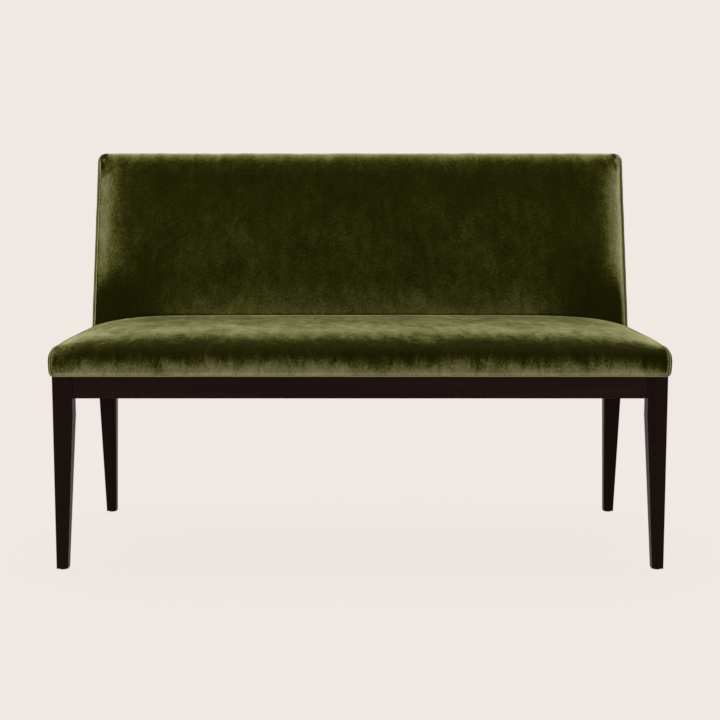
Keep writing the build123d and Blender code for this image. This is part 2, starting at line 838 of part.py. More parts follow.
pieces = {
    "front_leg_left": front_leg_left,
    "front_leg_right": front_leg_right,
    "rear_leg_left": rear_leg_left,
    "rear_leg_right": rear_leg_right,
    "leg_glides": leg_glides,
    "front_rail": front_rail,
    "rear_rail": rear_rail,
    "side_rail_left": side_rail_left,
    "side_rail_right": side_rail_right,
    "centre_rail": centre_rail,
    "corner_blocks": corner_blocks,
    "corner_block_screws": corner_block_screws,
    "frame_dowels": frame_dowels,
    "dust_cover": dust_cover,
    "dust_cover_staples": dust_cover_staples,
    "seat_screws": seat_screws,
    "seat_frame_front": seat_frame_front,
    "seat_frame_rear": seat_frame_rear,
    "seat_frame_side_left": seat_frame_side_left,
    "seat_frame_side_right": seat_frame_side_right,
    "seat_frame_centre": seat_frame_centre,
    "seat_frame_dowels": seat_frame_dowels,
    "seat_webbing": seat_webbing,
    "seat_foam": seat_foam,
    "seat_wadding": seat_wadding,
    "seat_side_pad_left": seat_side_pad_left,
    "seat_side_pad_right": seat_side_pad_right,
    "seat_cover": seat_cover,
    "seat_side_panel_left": seat_side_panel_left,
    "seat_side_panel_right": seat_side_panel_right,
    "back_top_rail": back_top_rail,
    "back_bottom_rail": back_bottom_rail,
    "back_centre_stile": back_centre_stile,
    "back_webbing": back_webbing,
    "back_foam": back_foam,
    "back_wadding": back_wadding,
    "back_side_pad_left": back_side_pad_left,
    "back_side_pad_right": back_side_pad_right,
    "back_board": back_board,
    "back_front_cover": back_front_cover,
    "back_side_panel_left": back_side_panel_left,
    "back_side_panel_right": back_side_panel_right,
    "back_outer_cover": back_outer_cover,
}

os.makedirs("parts", exist_ok=True)
for name, piece in pieces.items():
    piece.part.label = name
    export_step(piece.part, f"parts/{name}.step")
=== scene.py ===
# %% [markdown]
# A dining settee in moss-green velvet on a dark stained base, dressed for the camera. The solid
# model of its construction stays as it is: legs, rails, blocks and screws keep their meshes and
# only get a finish. The soft work is modelled here, because cloth needs dense, smooth surfaces that
# a plain solid doesn't have. It could be sculpted by hand, but outlines and formulas give the same
# settee every time and can be read like a pattern. Lengths are in metres unless a comment says mm.
# X runs along the settee, the front faces -Y and Z points up.

from contextlib import contextmanager
from math import cos, pi, radians, sin, tan

import bmesh
import bpy
import numpy as np
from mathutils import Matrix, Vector


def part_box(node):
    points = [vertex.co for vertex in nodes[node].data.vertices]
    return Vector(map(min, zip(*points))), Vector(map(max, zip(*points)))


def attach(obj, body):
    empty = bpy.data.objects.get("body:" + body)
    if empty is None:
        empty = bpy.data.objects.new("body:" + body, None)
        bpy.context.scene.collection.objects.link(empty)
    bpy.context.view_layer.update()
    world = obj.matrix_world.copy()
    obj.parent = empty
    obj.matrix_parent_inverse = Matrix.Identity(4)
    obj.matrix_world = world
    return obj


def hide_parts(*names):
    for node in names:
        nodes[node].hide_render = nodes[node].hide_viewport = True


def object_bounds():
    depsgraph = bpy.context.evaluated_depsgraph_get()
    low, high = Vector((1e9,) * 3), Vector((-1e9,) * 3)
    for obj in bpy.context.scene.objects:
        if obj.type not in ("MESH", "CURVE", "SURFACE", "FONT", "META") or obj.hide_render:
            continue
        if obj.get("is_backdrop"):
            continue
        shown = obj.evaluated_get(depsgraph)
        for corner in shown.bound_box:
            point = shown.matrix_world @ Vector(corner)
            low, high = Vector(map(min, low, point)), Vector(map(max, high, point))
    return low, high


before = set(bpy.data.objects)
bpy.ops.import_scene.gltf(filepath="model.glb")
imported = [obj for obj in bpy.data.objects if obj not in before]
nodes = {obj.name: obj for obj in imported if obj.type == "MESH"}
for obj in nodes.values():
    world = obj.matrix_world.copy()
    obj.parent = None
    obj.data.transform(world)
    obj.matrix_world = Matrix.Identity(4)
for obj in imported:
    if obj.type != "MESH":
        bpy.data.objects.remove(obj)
cad_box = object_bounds()
MM = 0.001
print("nodes in the frame:", len(nodes))

# %% [markdown]
# The camera comes first, since every comparison with the photograph hangs on it. The four feet, the
# plumb outer edges of the legs and the ends of the rails fix it: a long lens on the settee's
# middle, a little above the seat and tipped down six degrees. A shifted lens could frame the settee
# the same way, but the legs' converging sides ask for a real tilt.

# %% Camera
SENSOR = 36.0
LENS = 64.58
CAMERA_HEIGHT = 0.7468
CAMERA_TILT = 6.17
CAMERA_AWAY = 2.7107  # from the front faces of the legs

leg_lo, leg_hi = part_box("front_leg_right")
camera_data = bpy.data.cameras.new("camera")
camera_data.sensor_width = SENSOR
camera_data.lens = LENS
camera = bpy.data.objects.new("camera", camera_data)
camera.location = (0, leg_lo.y - CAMERA_AWAY, CAMERA_HEIGHT)
camera.rotation_euler = (radians(90 - CAMERA_TILT), 0, 0)
bpy.context.scene.collection.objects.link(camera)
bpy.context.scene.camera = camera
print("camera at", [round(value, 4) for value in camera.location])

# %% [markdown]
# Shader graphs are easier to read as sums than as wires. This small class wraps one output of a
# node and overloads the operators, so that `1 - mask * 0.5` adds the Math nodes by itself. The
# graph could be wired by hand in the shader editor, but a sum stays readable beside the sizes that
# it uses.

# %% Shader maths as expressions
class Value:
    """A number that changes over a surface: one output socket of a recipe's node."""

    def __init__(self, recipe, socket):
        self.recipe, self.socket = recipe, socket

    def math(self, operation, *terms):
        return self.recipe.node(
            "ShaderNodeMath", {"operation": operation}, dict(enumerate(terms))
        )

    def __add__(self, other):
        return self.math("ADD", self, other)

    def __sub__(self, other):
        return self.math("SUBTRACT", self, other)

    def __rsub__(self, other):
        return self.math("SUBTRACT", other, self)

    def __mul__(self, other):
        return self.math("MULTIPLY", self, other)

    def __truediv__(self, other):
        return self.math("DIVIDE", self, other)

    def __pow__(self, other):
        return self.math("POWER", self, other)

    __radd__ = __add__
    __rmul__ = __mul__


print("a value has", sum(name.startswith("__") for name in vars(Value)), "special methods")

# %% [markdown]
# A recipe is one material, or the world, made from such expressions. Whatever isn't plain
# arithmetic on numbers goes through one method, `node`, which sets the node's options first and
# then fills or links its inputs. Colours and vectors are never put through a Math node, which would
# turn them grey: they have `blend` and `along`. Each of the other methods could be a call of
# `node`; they only name the nodes that come up most.

# %% Recipes for materials
class Recipe:
    """One material, or the world, made from expressions."""

    def __init__(self, name, family=bpy.data.materials):
        self.made = family.new(name)
        self.made.use_nodes = True
        self.tree = self.made.node_tree
        self.tree.nodes.clear()

    def node(self, kind, settings=None, inputs=None, output=0):
        """Adds a node of that type: its settings first, then values or links for its inputs."""
        made = self.tree.nodes.new(kind)
        for name, value in (settings or {}).items():
            if name == "stops":
                self.stops(made.color_ramp, value)
            else:
                setattr(made, name, value)
        shown = [socket for socket in made.inputs if socket.enabled]
        for name, value in (inputs or {}).items():
            if isinstance(name, int):
                socket = shown[name]
            else:
                socket = next(socket for socket in shown if socket.name == name)
            if isinstance(value, Value):
                self.tree.links.new(value.socket, socket)
            else:
                socket.default_value = value
        given = [out for out in made.outputs if out.enabled and output in (out.name, None)]
        if isinstance(output, int):
            given = [[out for out in made.outputs if out.enabled][output]]
        return Value(self, given[0]) if given else None

    def stops(self, ramp, stops):
        """Fills a ramp with (position, grey or colour) stops."""
        while len(ramp.elements) < len(stops):
            ramp.elements.new(0.5)
        for element, (position, value) in zip(ramp.elements, stops):
            element.position = position
            element.color = value if isinstance(value, tuple) else (value, value, value, 1)

    def ramp(self, value, *stops):
        return self.node("ShaderNodeValToRGB", {"stops": stops}, {"Fac": value})

    def blend(self, factor, first, second):
        """Mixes two colours."""
        shares = {0: factor, 1: first, 2: second}
        return self.node("ShaderNodeMix", {"data_type": "RGBA"}, shares)

    def along(self, operation, *terms, output=0):
        """Vector maths."""
        return self.node(
            "ShaderNodeVectorMath", {"operation": operation}, dict(enumerate(terms)), output
        )

    def place(self, scale=(1, 1, 1)):
        """A point of the surface in metres, stretched for a texture that has a direction."""
        point = self.node("ShaderNodeTexCoord", output="Object")
        return self.along("MULTIPLY", point, scale)

    def noise(self, place, scale, detail=2.0, roughness=0.5, distortion=0.0):
        inputs = {
            "Vector": place,
            "Scale": scale,
            "Detail": detail,
            "Roughness": roughness,
            "Distortion": distortion,
        }
        return self.node("ShaderNodeTexNoise", {}, inputs)

    def bump(self, height, strength, distance):
        inputs = {"Height": height, "Strength": strength, "Distance": distance}
        return self.node("ShaderNodeBump", {}, inputs)

    def finish(self, **inputs):
        """Ends the material in a Principled shader with these inputs."""
        named = {name.replace("_", " "): value for name, value in inputs.items()}
        shader = self.node("ShaderNodeBsdfPrincipled", {}, named)
        self.node("ShaderNodeOutputMaterial", {}, {"Surface": shader}, output=None)
        return self.made


print("a recipe knows", [name for name in vars(Recipe) if name[0] != "_"])

# %% [markdown]
# Blender's sockets want linear light, where a middle grey is about 0.22. Dyers and painters count
# from 0 to 255 on a screen instead, and tones are easier to compare that way, so every colour below
# is written like that and turned here.

# %% Colours
def rgb(red, green, blue):
    """A colour as a paint chart gives it, from 0 to 255, for a linear socket."""
    shares = [value / 255 for value in (red, green, blue)]
    linear = [s / 12.92 if s <= 0.04045 else ((s + 0.055) / 1.055) ** 2.4 for s in shares]
    return (*linear, 1)


middle_grey = rgb(128, 128, 128)[0]
print("middle grey is", round(middle_grey, 3), "in linear light")

# %% [markdown]
# The settee's own measures. Most of them are read from the frame's boxes, so the soft pieces land
# where the construction has room for them. They could all be typed in, but then a change to the
# construction would leave the cloth behind. The few that a box can't give, such as the lean of the
# back or the depth of a stitch, are named here or where they are first used.

# %% Measures of the settee
seat_lo, seat_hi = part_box("seat_cover")
boxing_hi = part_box("seat_side_panel_right")[1]
back_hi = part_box("back_front_cover")[1]
back_boxing_lo, back_boxing_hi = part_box("back_side_panel_right")
rail_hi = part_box("front_rail")[1]
plank_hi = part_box("seat_frame_front")[1]

REST = 0.3 * MM  # cloth lies this far off the wood under it
HEM = rail_hi.z + REST
SEAT_SEAM = seat_hi.x + 4.5 * MM  # pulled cloth draws its side seams out towards the ends
SEAT_END = boxing_hi.x - 0.5 * MM
SEAT_FRONT = seat_lo.y
SEAT_EDGE = boxing_hi.z - rail_hi.z  # height of the side seam where it meets the back
SEAT_CROWN = seat_hi.z - boxing_hi.z
BACK_FOOT = back_boxing_lo.y  # the back's front face at the rails' top
SEAT_DEPTH = BACK_FOOT - SEAT_FRONT
BACK_SEAM = back_hi.x + 5.0 * MM
BACK_END = back_boxing_hi.x + 3.8 * MM
BACK_LEAN = radians(15.8)
BACK_THICK = 66.7 * MM
BACK_ROUND = 18.0 * MM  # the front panel's turn over the top edge
BACK_TOP = back_hi.z + 4.0 * MM
BACK_LENGTH = BACK_ROUND + (
    BACK_TOP - rail_hi.z - BACK_ROUND * (1 - sin(BACK_LEAN))
) / cos(BACK_LEAN)
print("seat seam", round(SEAT_SEAM, 4), "back length up the lean", round(BACK_LENGTH, 4))

# %% [markdown]
# Upholstery is drawn in outlines first: a cut through the seat, a cut through the back. They could
# be curves drawn in the viewport. Here an outline is a handful of points with a natural spline
# through them, like a thin batten bent round pins, because the points are then plain sizes that can
# be measured and changed. These helpers bend, walk, space out, round and join such lines.

# %% Lines
def spline(points, count=400):
    """A natural cubic spline through the points: the curve of a thin batten bent round pins."""
    points = np.array(points, float)
    gaps = np.linalg.norm(np.diff(points, axis=0), axis=1)
    knots = np.concatenate(([0], np.cumsum(gaps)))
    system, pull = np.eye(len(points)), np.zeros_like(points)
    for i in range(1, len(points) - 1):
        system[i, i - 1 : i + 2] = gaps[i - 1], 2 * (gaps[i - 1] + gaps[i]), gaps[i]
        after = (points[i + 1] - points[i]) / gaps[i]
        before = (points[i] - points[i - 1]) / gaps[i - 1]
        pull[i] = 6 * (after - before)
    bend = np.linalg.solve(system, pull)
    at = np.linspace(0, knots[-1], count)
    i = np.clip(np.searchsorted(knots, at, side="right") - 1, 0, len(points) - 2)
    step = gaps[i][:, None]
    b = (at - knots[i])[:, None] / step
    a = 1 - b
    curve = ((a**3 - a) * bend[i] + (b**3 - b) * bend[i + 1]) * step**2 / 6
    return a * points[i] + b * points[i + 1] + curve


def walked(line):
    """The distance walked along a line at each of its points."""
    return np.concatenate(([0], np.cumsum(np.linalg.norm(np.diff(line, axis=0), axis=1))))


def spaced(line, count, crowd=0.0):
    """The same line with that many points, crowded towards its start if asked."""
    line = np.array(line, float)
    way = walked(line)
    share = np.linspace(0, 1, count)
    share = (1 - crowd) * share + crowd * share**2
    return np.stack([np.interp(share * way[-1], way, axis) for axis in line.T], axis=1)


def corner(before, tip, after, count=7):
    """A rounded corner between two points, pulled towards its tip."""
    t = np.linspace(0, 1, count)[:, None]
    before, tip, after = (np.array(point, float) for point in (before, tip, after))
    return (1 - t) ** 2 * before + 2 * t * (1 - t) * tip + t**2 * after


def chain(*parts):
    """Joins lines end to end, without repeating the points that they share."""
    return np.concatenate([parts[0]] + [part[1:] for part in parts[1:]])


batten = spline([(0, 0), (1, 1), (2, 0)])
print("a batten bent round three pins is", round(float(walked(batten)[-1]), 3), "long")

# %% [markdown]
# Every soft panel is a grid of points: columns across the settee and rows along the cloth's own
# length. A sculpted mesh would do for a picture, but a grid keeps a clean map from the cloth to the
# surface, which the pile needs for its direction, and it can be as fine as a seam asks near an edge
# and coarser elsewhere.

# %% Grids
def columns(half, finest=0.6 * MM, widest=5.0 * MM, growth=1.17):
    """Places across a panel, close together at its seams and even in its middle."""
    places, step = [0.0], finest
    while places[-1] + step < half:
        places.append(places[-1] + step)
        step = min(step * growth, widest)
    left = np.array(places) * half / places[-1] - half
    return np.concatenate([left, -left[-2::-1]])


def facing(grid):
    """The outward direction at each point of a grid."""
    across, along = np.gradient(grid, axis=0), np.gradient(grid, axis=1)
    normal = np.cross(across, along)
    return normal / np.maximum(np.linalg.norm(normal, axis=2, keepdims=True), 1e-12)


def lift(grid, heights):
    """Moves each point of a grid out along its own direction."""
    return grid + facing(grid) * heights[:, :, None]


print("a panel 1.2 m wide has", len(columns(0.6)), "columns")

# %% [markdown]
# Seams, folds and the unevenness of foam are small heights on such a grid. A displacement texture
# could give them, but it would know nothing of where a seam runs. So they are sums of soft humps,
# soft steps and slow random waves. Each set of waves has its own seed, so that every run gives the
# same settee.

# %% Hills, steps and waves
def hill(distance, middle, width):
    """A soft hump of height one, at a distance and of a width."""
    return np.exp(-(((distance - middle) / width) ** 2))


def eased(value, low, high):
    """Rises smoothly from 0 at low to 1 at high."""
    t = np.clip((value - low) / (high - low), 0, 1)
    return t * t * (3 - 2 * t)


def waves(across, along, wavelength, seed, stretch=1.0, count=14):
    """Soft random ripples between -1 and 1, longer along the cloth when stretched."""
    chance = np.random.default_rng(seed)
    total = np.zeros(np.broadcast(across, along).shape)
    for _ in range(count):
        turn, phase = chance.uniform(0, 2 * pi, 2)
        pitch = 2 * pi / (wavelength * chance.uniform(0.7, 1.5))
        total += np.cos(pitch * (cos(turn) * across + sin(turn) * along / stretch) + phase)
    return total / count**0.5 / 1.5


sample = waves(np.arange(99.0), 0, 9, 1)
print("waves lie between", round(float(sample.min()), 2), "and", round(float(sample.max()), 2))

# %% [markdown]
# A grid becomes a mesh with a flat map in metres, as if the cloth still lay on the cutting table.
# Unwrapping it by hand would stretch it somewhere. The pile's grain is drawn on that map, so it
# runs along the cloth and bends with it.

# %% From a grid to a piece
def finish_piece(name, mesh, material):
    """Puts a mesh in the scene, smooth, riding on the settee's one body."""
    piece = bpy.data.objects.new(name, mesh)
    bpy.context.scene.collection.objects.link(piece)
    mesh.materials.append(material)
    mesh.polygons.foreach_set("use_smooth", [True] * len(mesh.polygons))
    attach(piece, "root")
    print(name, "has", len(mesh.polygons), "faces")
    return piece


def grid_mesh(name, grid, flat=None, mirrored=False):
    """Quads between the points of a grid, with the cloth's flat map."""
    across, along = grid.shape[:2]
    index = np.arange(across * along).reshape(across, along)
    quads = np.stack(
        [index[:-1, :-1], index[1:, :-1], index[1:, 1:], index[:-1, 1:]], axis=-1
    ).reshape(-1, 4)
    if mirrored:
        quads = quads[:, ::-1]
    mesh = bpy.data.meshes.new(name)
    mesh.from_pydata(grid.reshape(-1, 3).tolist(), [], quads.tolist())
    if flat is not None:
        cloth = mesh.uv_layers.new(name="cloth")
        corners = flat.reshape(-1, 2)[quads.reshape(-1)]
        cloth.data.foreach_set("uv", corners.astype(np.float32).ravel())
    return mesh


@contextmanager
def opened(mesh):
    """Opens a mesh for edits to its faces, and writes them back."""
    work = bmesh.new()
    work.from_mesh(mesh)
    yield work
    work.to_mesh(mesh)
    work.free()


def flat_map(grid):
    """Where each point of a grid lay on the cutting table: metres across and along."""
    across = np.broadcast_to(grid[:, :1, 0], grid.shape[:2])
    steps = np.linalg.norm(np.diff(grid, axis=1), axis=2).mean(axis=0)
    along = np.broadcast_to(np.concatenate(([0], np.cumsum(steps))), grid.shape[:2])
    return np.stack([across, along], axis=2)


strip = np.array([[(x, y, 0.0) for y in (0, 2)] for x in (0, 1)])
print("a flat strip of length 2 gets a map of", float(flat_map(strip)[0, -1, 1]))

# %% [markdown]
# The seat's main panel is one length of velvet: it turns under the seat frame at the hem, rises up
# the front, rolls over the edge, crosses the crowned top and dives between seat and back. Its
# outline changes along the settee, because foam crowns in the middle and the side seams hold it
# down. So the panel is lofted from outlines at many places, and never scaled from one.

# %% The seat's outline
HEM_RETURN = 22.0 * MM
HEM_ROLL = 4.0 * MM
REAR_ROLL = 9.0 * MM
CROWN_FADE = 70.0 * MM
REST_GAP = 0.5 * MM
HEM_ROWS = 6  # points in the hem's return, and again in its roll
FACE_ROWS = 128
FACE_CROWD = 0.35  # they lie closer together near the hem
TURN_ROWS = 7  # in the turn down to the rear
REAR_ROWS = 8
# shares of the seat's depth, of its edge height and of its crown
SEAT_OUTLINE_SHARES = (
    (0.000, 0.33, 0.00),
    (0.010, 0.64, 0.09),
    (0.055, 0.80, 0.31),
    (0.150, 0.858, 0.76),
    (0.290, 0.90, 0.96),
    (0.530, 0.945, 1.01),
)
SEAT_FOOT_SHARE = 0.008


def crown_at(x, seam, fade):
    """How much of the crown has risen, this far along the settee."""
    return 1 - np.exp(-max(seam - abs(x), 0) / fade)


def seat_profile(x):
    """The seat's outline at x as (y, z) points, from the hem's return to the rear of the seat."""
    crown = SEAT_CROWN * crown_at(x, SEAT_SEAM, CROWN_FADE)
    foot_y = SEAT_FRONT + SEAT_FOOT_SHARE * SEAT_DEPTH
    rise = [(foot_y, HEM + HEM_ROLL)]
    for depth, height, crowned in SEAT_OUTLINE_SHARES:
        lifted = rail_hi.z + height * SEAT_EDGE + crowned * crown
        rise.append((SEAT_FRONT + depth * SEAT_DEPTH, lifted))
    head = rail_hi.z + SEAT_EDGE + crown
    rear = BACK_FOOT - REST_GAP
    tip = (rear + (head - rail_hi.z) * tan(BACK_LEAN), head)
    down = (tip[0] - REAR_ROLL * sin(BACK_LEAN), tip[1] - REAR_ROLL * cos(BACK_LEAN))
    foot = (rear + (plank_hi.z - rail_hi.z) * tan(BACK_LEAN), plank_hi.z + REST)
    rise.append((tip[0] - REAR_ROLL, head))
    under = [(foot_y + HEM_RETURN, HEM), (foot_y + HEM_ROLL, HEM)]
    return chain(
        spaced(under, HEM_ROWS),
        corner((foot_y + HEM_ROLL, HEM), (foot_y, HEM), rise[0], HEM_ROWS),
        spaced(spline(rise), FACE_ROWS, FACE_CROWD),
        corner(rise[-1], tip, down, TURN_ROWS),
        spaced([down, foot], REAR_ROWS),
    )


seat_x = columns(SEAT_SEAM)
seat_form = np.array([[(x, y, z) for y, z in seat_profile(x)] for x in seat_x])
print("seat panel:", seat_form.shape[0], "columns and", seat_form.shape[1], "rows")

# %% [markdown]
# Drawn outlines are too perfect for upholstery. A short cloth simulation lends the panels the
# fullness of cloth over foam: the edges stay sewn and a light pressure pushes the rest out. A cap
# of 1.2 mm keeps every point near the drawn form, because freer cloth rounded the edges away from
# the real ones. Modelling the fullness by hand would give a smooth balloon instead. It runs on a
# coarser copy of the grid, and only its displacement comes back, so that seams and stitches can be
# cut afterwards as finely as they need.

# %% Cloth simulation
SIM_STEP = 6.5 * MM
SIM_FRAMES = 20
SIM_PRESSURE = 4.0
SIM_QUALITY = 6
SIM_SMOOTHING = 6


def thinned(line, step):
    """Indexes of a line's points that lie at least a step apart, with both ends."""
    way, kept = walked(line), [0]
    for i in range(1, len(line) - 1):
        if way[i] - way[kept[-1]] >= step and way[-1] - way[i] >= step / 2:
            kept.append(i)
    return kept + [len(line) - 1]


def softened(field, rounds):
    """A field with its small steps smoothed away."""
    for _ in range(rounds):
        padded = np.pad(field, 1, mode="edge")
        field = (
            4 * field
            + padded[:-2, 1:-1] + padded[2:, 1:-1] + padded[1:-1, :-2] + padded[1:-1, 2:]
        ) / 8
    return field


def swelling(name, grid, held, fullness, cap):
    """How far each point of a panel swells, in metres, after a cloth simulation."""
    rows = thinned(grid[grid.shape[0] // 2], SIM_STEP)
    cols = thinned(grid[:, grid.shape[1] // 2], SIM_STEP)
    coarse = grid[np.ix_(cols, rows)]
    pins = np.maximum(held[np.ix_(cols, rows)], 0)
    pins[[0, -1]] = pins[:, [0, -1]] = 1
    piece = bpy.data.objects.new(name, grid_mesh(name, coarse))
    bpy.context.scene.collection.objects.link(piece)
    sewn = piece.vertex_groups.new(name="sewn")
    for index, weight in enumerate(pins.ravel().tolist()):
        sewn.add([index], weight, "REPLACE")
    cloth = piece.modifiers.new("cloth", "CLOTH")
    settings = cloth.settings
    settings.quality = SIM_QUALITY
    settings.vertex_group_mass = "sewn"
    settings.use_pressure = True
    settings.uniform_pressure_force = SIM_PRESSURE
    settings.shrink_min = -fullness
    settings.effector_weights.gravity = 0
    cloth.point_cache.frame_end = SIM_FRAMES
    for step in range(1, SIM_FRAMES + 1):
        bpy.context.scene.frame_set(step)
    mesh = piece.evaluated_get(bpy.context.evaluated_depsgraph_get()).to_mesh()
    after = np.zeros(len(mesh.vertices) * 3, np.float32)
    mesh.vertices.foreach_get("co", after)
    bpy.context.scene.frame_set(1)
    moved = ((after.reshape(coarse.shape) - coarse) * facing(coarse)).sum(axis=2)
    bpy.data.objects.remove(piece)
    print(name, "swelled by", round(float(moved.max()) / MM, 1), "mm at most, before the cap")
    moved = cap * np.tanh(moved / cap)
    full = np.array([np.interp(range(grid.shape[1]), rows, line) for line in moved])
    full = np.array([np.interp(range(grid.shape[0]), cols, line) for line in full.T]).T
    return softened(full, SIM_SMOOTHING)


print("simulation runs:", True)

# %% [markdown]
# A plain sewn seam on velvet has three marks. The two edges dive into a narrow groove, the cloth
# beside it stands up in a small ridge, and a row of topstitches pinches that ridge at an even
# pitch. A bump texture could draw them, but they have to show in the outline too. All three are
# heights over the distance from the seam, so one function serves every panel.

# %% The marks of a seam
GROOVE_DEPTH = 2.8 * MM
GROOVE_WIDTH = 1.2 * MM
RIDGE_HEIGHT = 0.55 * MM
RIDGE_IN = 3.0 * MM
RIDGE_WIDTH = 1.9 * MM
STITCH_PITCH = 7.5 * MM
STITCH_IN = 3.3 * MM
PUCKER = 0.3 * MM
PUCKER_REACH = 7.0 * MM
PUCKER_UNREST = 0.5  # how far the puckers' height wanders
UNREST_LENGTH = 40 * MM


def seam_marks(away, along, seed, groove=1.0, ridge=1.0):
    """Heights beside a seam: groove, ridge and the puckers between its stitches."""
    pinch = np.cos(2 * pi * along / STITCH_PITCH)
    uneven = 1 + PUCKER_UNREST * waves(along, 0 * along, UNREST_LENGTH, seed)
    return (
        RIDGE_HEIGHT * ridge * hill(away, RIDGE_IN, RIDGE_WIDTH)
        - GROOVE_DEPTH * groove * hill(away, 0, GROOVE_WIDTH)
        + PUCKER * uneven * pinch * hill(away, RIDGE_IN, PUCKER_REACH)
    )


print("a seam has", round(1000 * MM / STITCH_PITCH), "stitches to the metre")

# %% [markdown]
# At the hem the seat's ends are folded under, so its lower corners draw in above the legs. The mesh
# could be pulled in by hand, but then the panel, its boxing and the pad behind it would each need
# the same pull. A function that moves any point by its height over the hem keeps the three
# together.

# %% The tuck at the hem
TUCK = 4.8 * MM
TUCK_HEIGHT = 16.0 * MM
TUCK_REACH = 16.0 * MM


def tucked(points):
    """Draws the seat's ends in at the hem, where the cloth is folded under its corner."""
    far = np.abs(points[..., 0])
    low = np.clip(1 - (points[..., 2] - HEM) / TUCK_HEIGHT, 0, 1)
    near = np.exp(-np.maximum(SEAT_SEAM - far, 0) / TUCK_REACH)
    moved = points.copy()
    moved[..., 0] -= np.sign(points[..., 0]) * TUCK * (1 - np.sqrt(1 - low**2)) * near
    return moved


print("the seat draws in by", round(TUCK / MM, 1), "mm at the hem's ends")

# %% [markdown]
# The seat panel itself. Over the drawn form and its swelling come broad, shallow waves from the
# foam, short upright ripples where the cloth is pulled down to the hem, and the seams' marks. They
# could be sculpted, but as sums each can be turned up or down by itself. The hem and the hidden
# rear stay as drawn, since they lie on wood.

# %% Seat panel
SEAT_FULLNESS = 0.004
SEAT_CAP = 1.2 * MM
FOAM_WAVE = 0.55 * MM
FOAM_WAVE_LENGTH = 150 * MM
WAVE_FADE = 60 * MM  # waves die out this far from a side seam
HEM_RIPPLE = 0.45 * MM
RIPPLE_LENGTH = 26 * MM
RIPPLE_STRETCH = 5.0  # how much longer than wide a ripple is
RIPPLE_REACH = 30 * MM
HEM_FADE = (2 * MM, 16 * MM)  # the soft heights set in over this stretch above the hem
REAR_FADE = (-2 * MM, 14 * MM)
MARKS_FADE = (-3 * MM, 2 * MM)
FRONT_FREE = 0.8  # how much freer the cloth is at the roll over the front edge
FRONT_REACH = 60 * MM

seat_flat = flat_map(seat_form)
seat_across, seat_along = seat_flat[:, :, 0], seat_flat[:, :, 1]
seat_away = SEAT_SEAM - np.abs(seat_form[:, :, 0])
hem_row = 2 * HEM_ROWS - 2  # rows up to here are the hem's return and roll
above_hem = np.maximum(seat_along - seat_along[0, hem_row], 0)
seat_end_row = hem_row + FACE_ROWS - 1
rear_way = seat_along[0, seat_end_row] - seat_along
free = eased(above_hem, *HEM_FADE) * eased(rear_way, *REAR_FADE)
over_front = above_hem - SEAT_EDGE
seat_held = 1 - free * (1 - FRONT_FREE * hill(over_front, 0, FRONT_REACH))

foam_wave = waves(seat_across, seat_along, FOAM_WAVE_LENGTH, seed=3)
hem_ripple = waves(seat_across, seat_along, RIPPLE_LENGTH, seed=5, stretch=RIPPLE_STRETCH)
seat_soft = free * (
    swelling("seat_cloth", seat_form, seat_held, SEAT_FULLNESS, SEAT_CAP)
    + FOAM_WAVE * foam_wave * eased(seat_away, 0, WAVE_FADE)
    + HEM_RIPPLE * hem_ripple * np.exp(-above_hem / RIPPLE_REACH)
)
seat_marks = seam_marks(seat_away, seat_along, seed=7) * eased(above_hem, *MARKS_FADE)
seat_heights = seat_soft + seat_marks
seat_grid = tucked(lift(seat_form, seat_heights))
seat_grid[:, :, 2] = np.maximum(seat_grid[:, :, 2], HEM)
print("seat panel heights up to", round(float(seat_heights.max()) / MM, 1), "mm")

# %% [markdown]
# The ends of seat and back are closed by boxing: a narrow panel, sewn round its outline and pushed
# out by the wadding behind it. A flat face with a bevel would look like a lid. So the panel is made
# of rings that follow its outline, and this first step finds the way to it: rays go out from a
# spine in the middle of the panel until they meet the outline.

# %% Rays to an outline
def ray_hit(origin, way, outline):
    """Where a ray from inside meets a closed outline."""
    start, step = outline, np.roll(outline, -1, axis=0) - outline
    across = way[0] * step[:, 1] - way[1] * step[:, 0]
    across = np.where(np.abs(across) < 1e-15, 1e-15, across)
    gap = start - origin
    far = (gap[:, 0] * step[:, 1] - gap[:, 1] * step[:, 0]) / across
    share = (gap[:, 0] * way[1] - gap[:, 1] * way[0]) / across
    return far[(far > 0) & (share >= -1e-9) & (share <= 1 + 1e-9)].min()


def round_spine(outline, spine, stations, turns):
    """Rays round a spine to an outline: their origins, directions and lengths."""
    first, last = (np.array(point, float) for point in spine)
    axis = (last - first) / np.linalg.norm(last - first)
    side = np.array([-axis[1], axis[0]])
    walk = np.linspace(0, 1, stations)
    fan = np.linspace(0, pi, turns)[1:-1]
    origins, ways = [], []
    for share in walk:
        origins.append(first + share * (last - first))
        ways.append(side)
    for turn in fan:
        origins.append(last)
        ways.append(cos(turn) * side + sin(turn) * axis)
    for share in walk[::-1]:
        origins.append(first + share * (last - first))
        ways.append(-side)
    for turn in fan:
        origins.append(first)
        ways.append(-cos(turn) * side - sin(turn) * axis)
    reach = [ray_hit(origin, way, outline) for origin, way in zip(origins, ways)]
    return np.array(origins), np.array(ways), np.array(reach)


square = np.array([(0, 0), (2, 0), (2, 2), (0, 2)], float)
reach = ray_hit(np.array([1.0, 1.0]), (1, 0), square)
print("a ray from its middle leaves a square of side 2 after", round(float(reach), 3))

# %% [markdown]
# Each ring of the boxing lies a little further in and further out than the one before, which gives
# the groove, the rolled rim and the flatter middle in one go. Bevels and a subdivision could round
# the rim, but not pinch it at every stitch. The last ring folds shut on the spine.

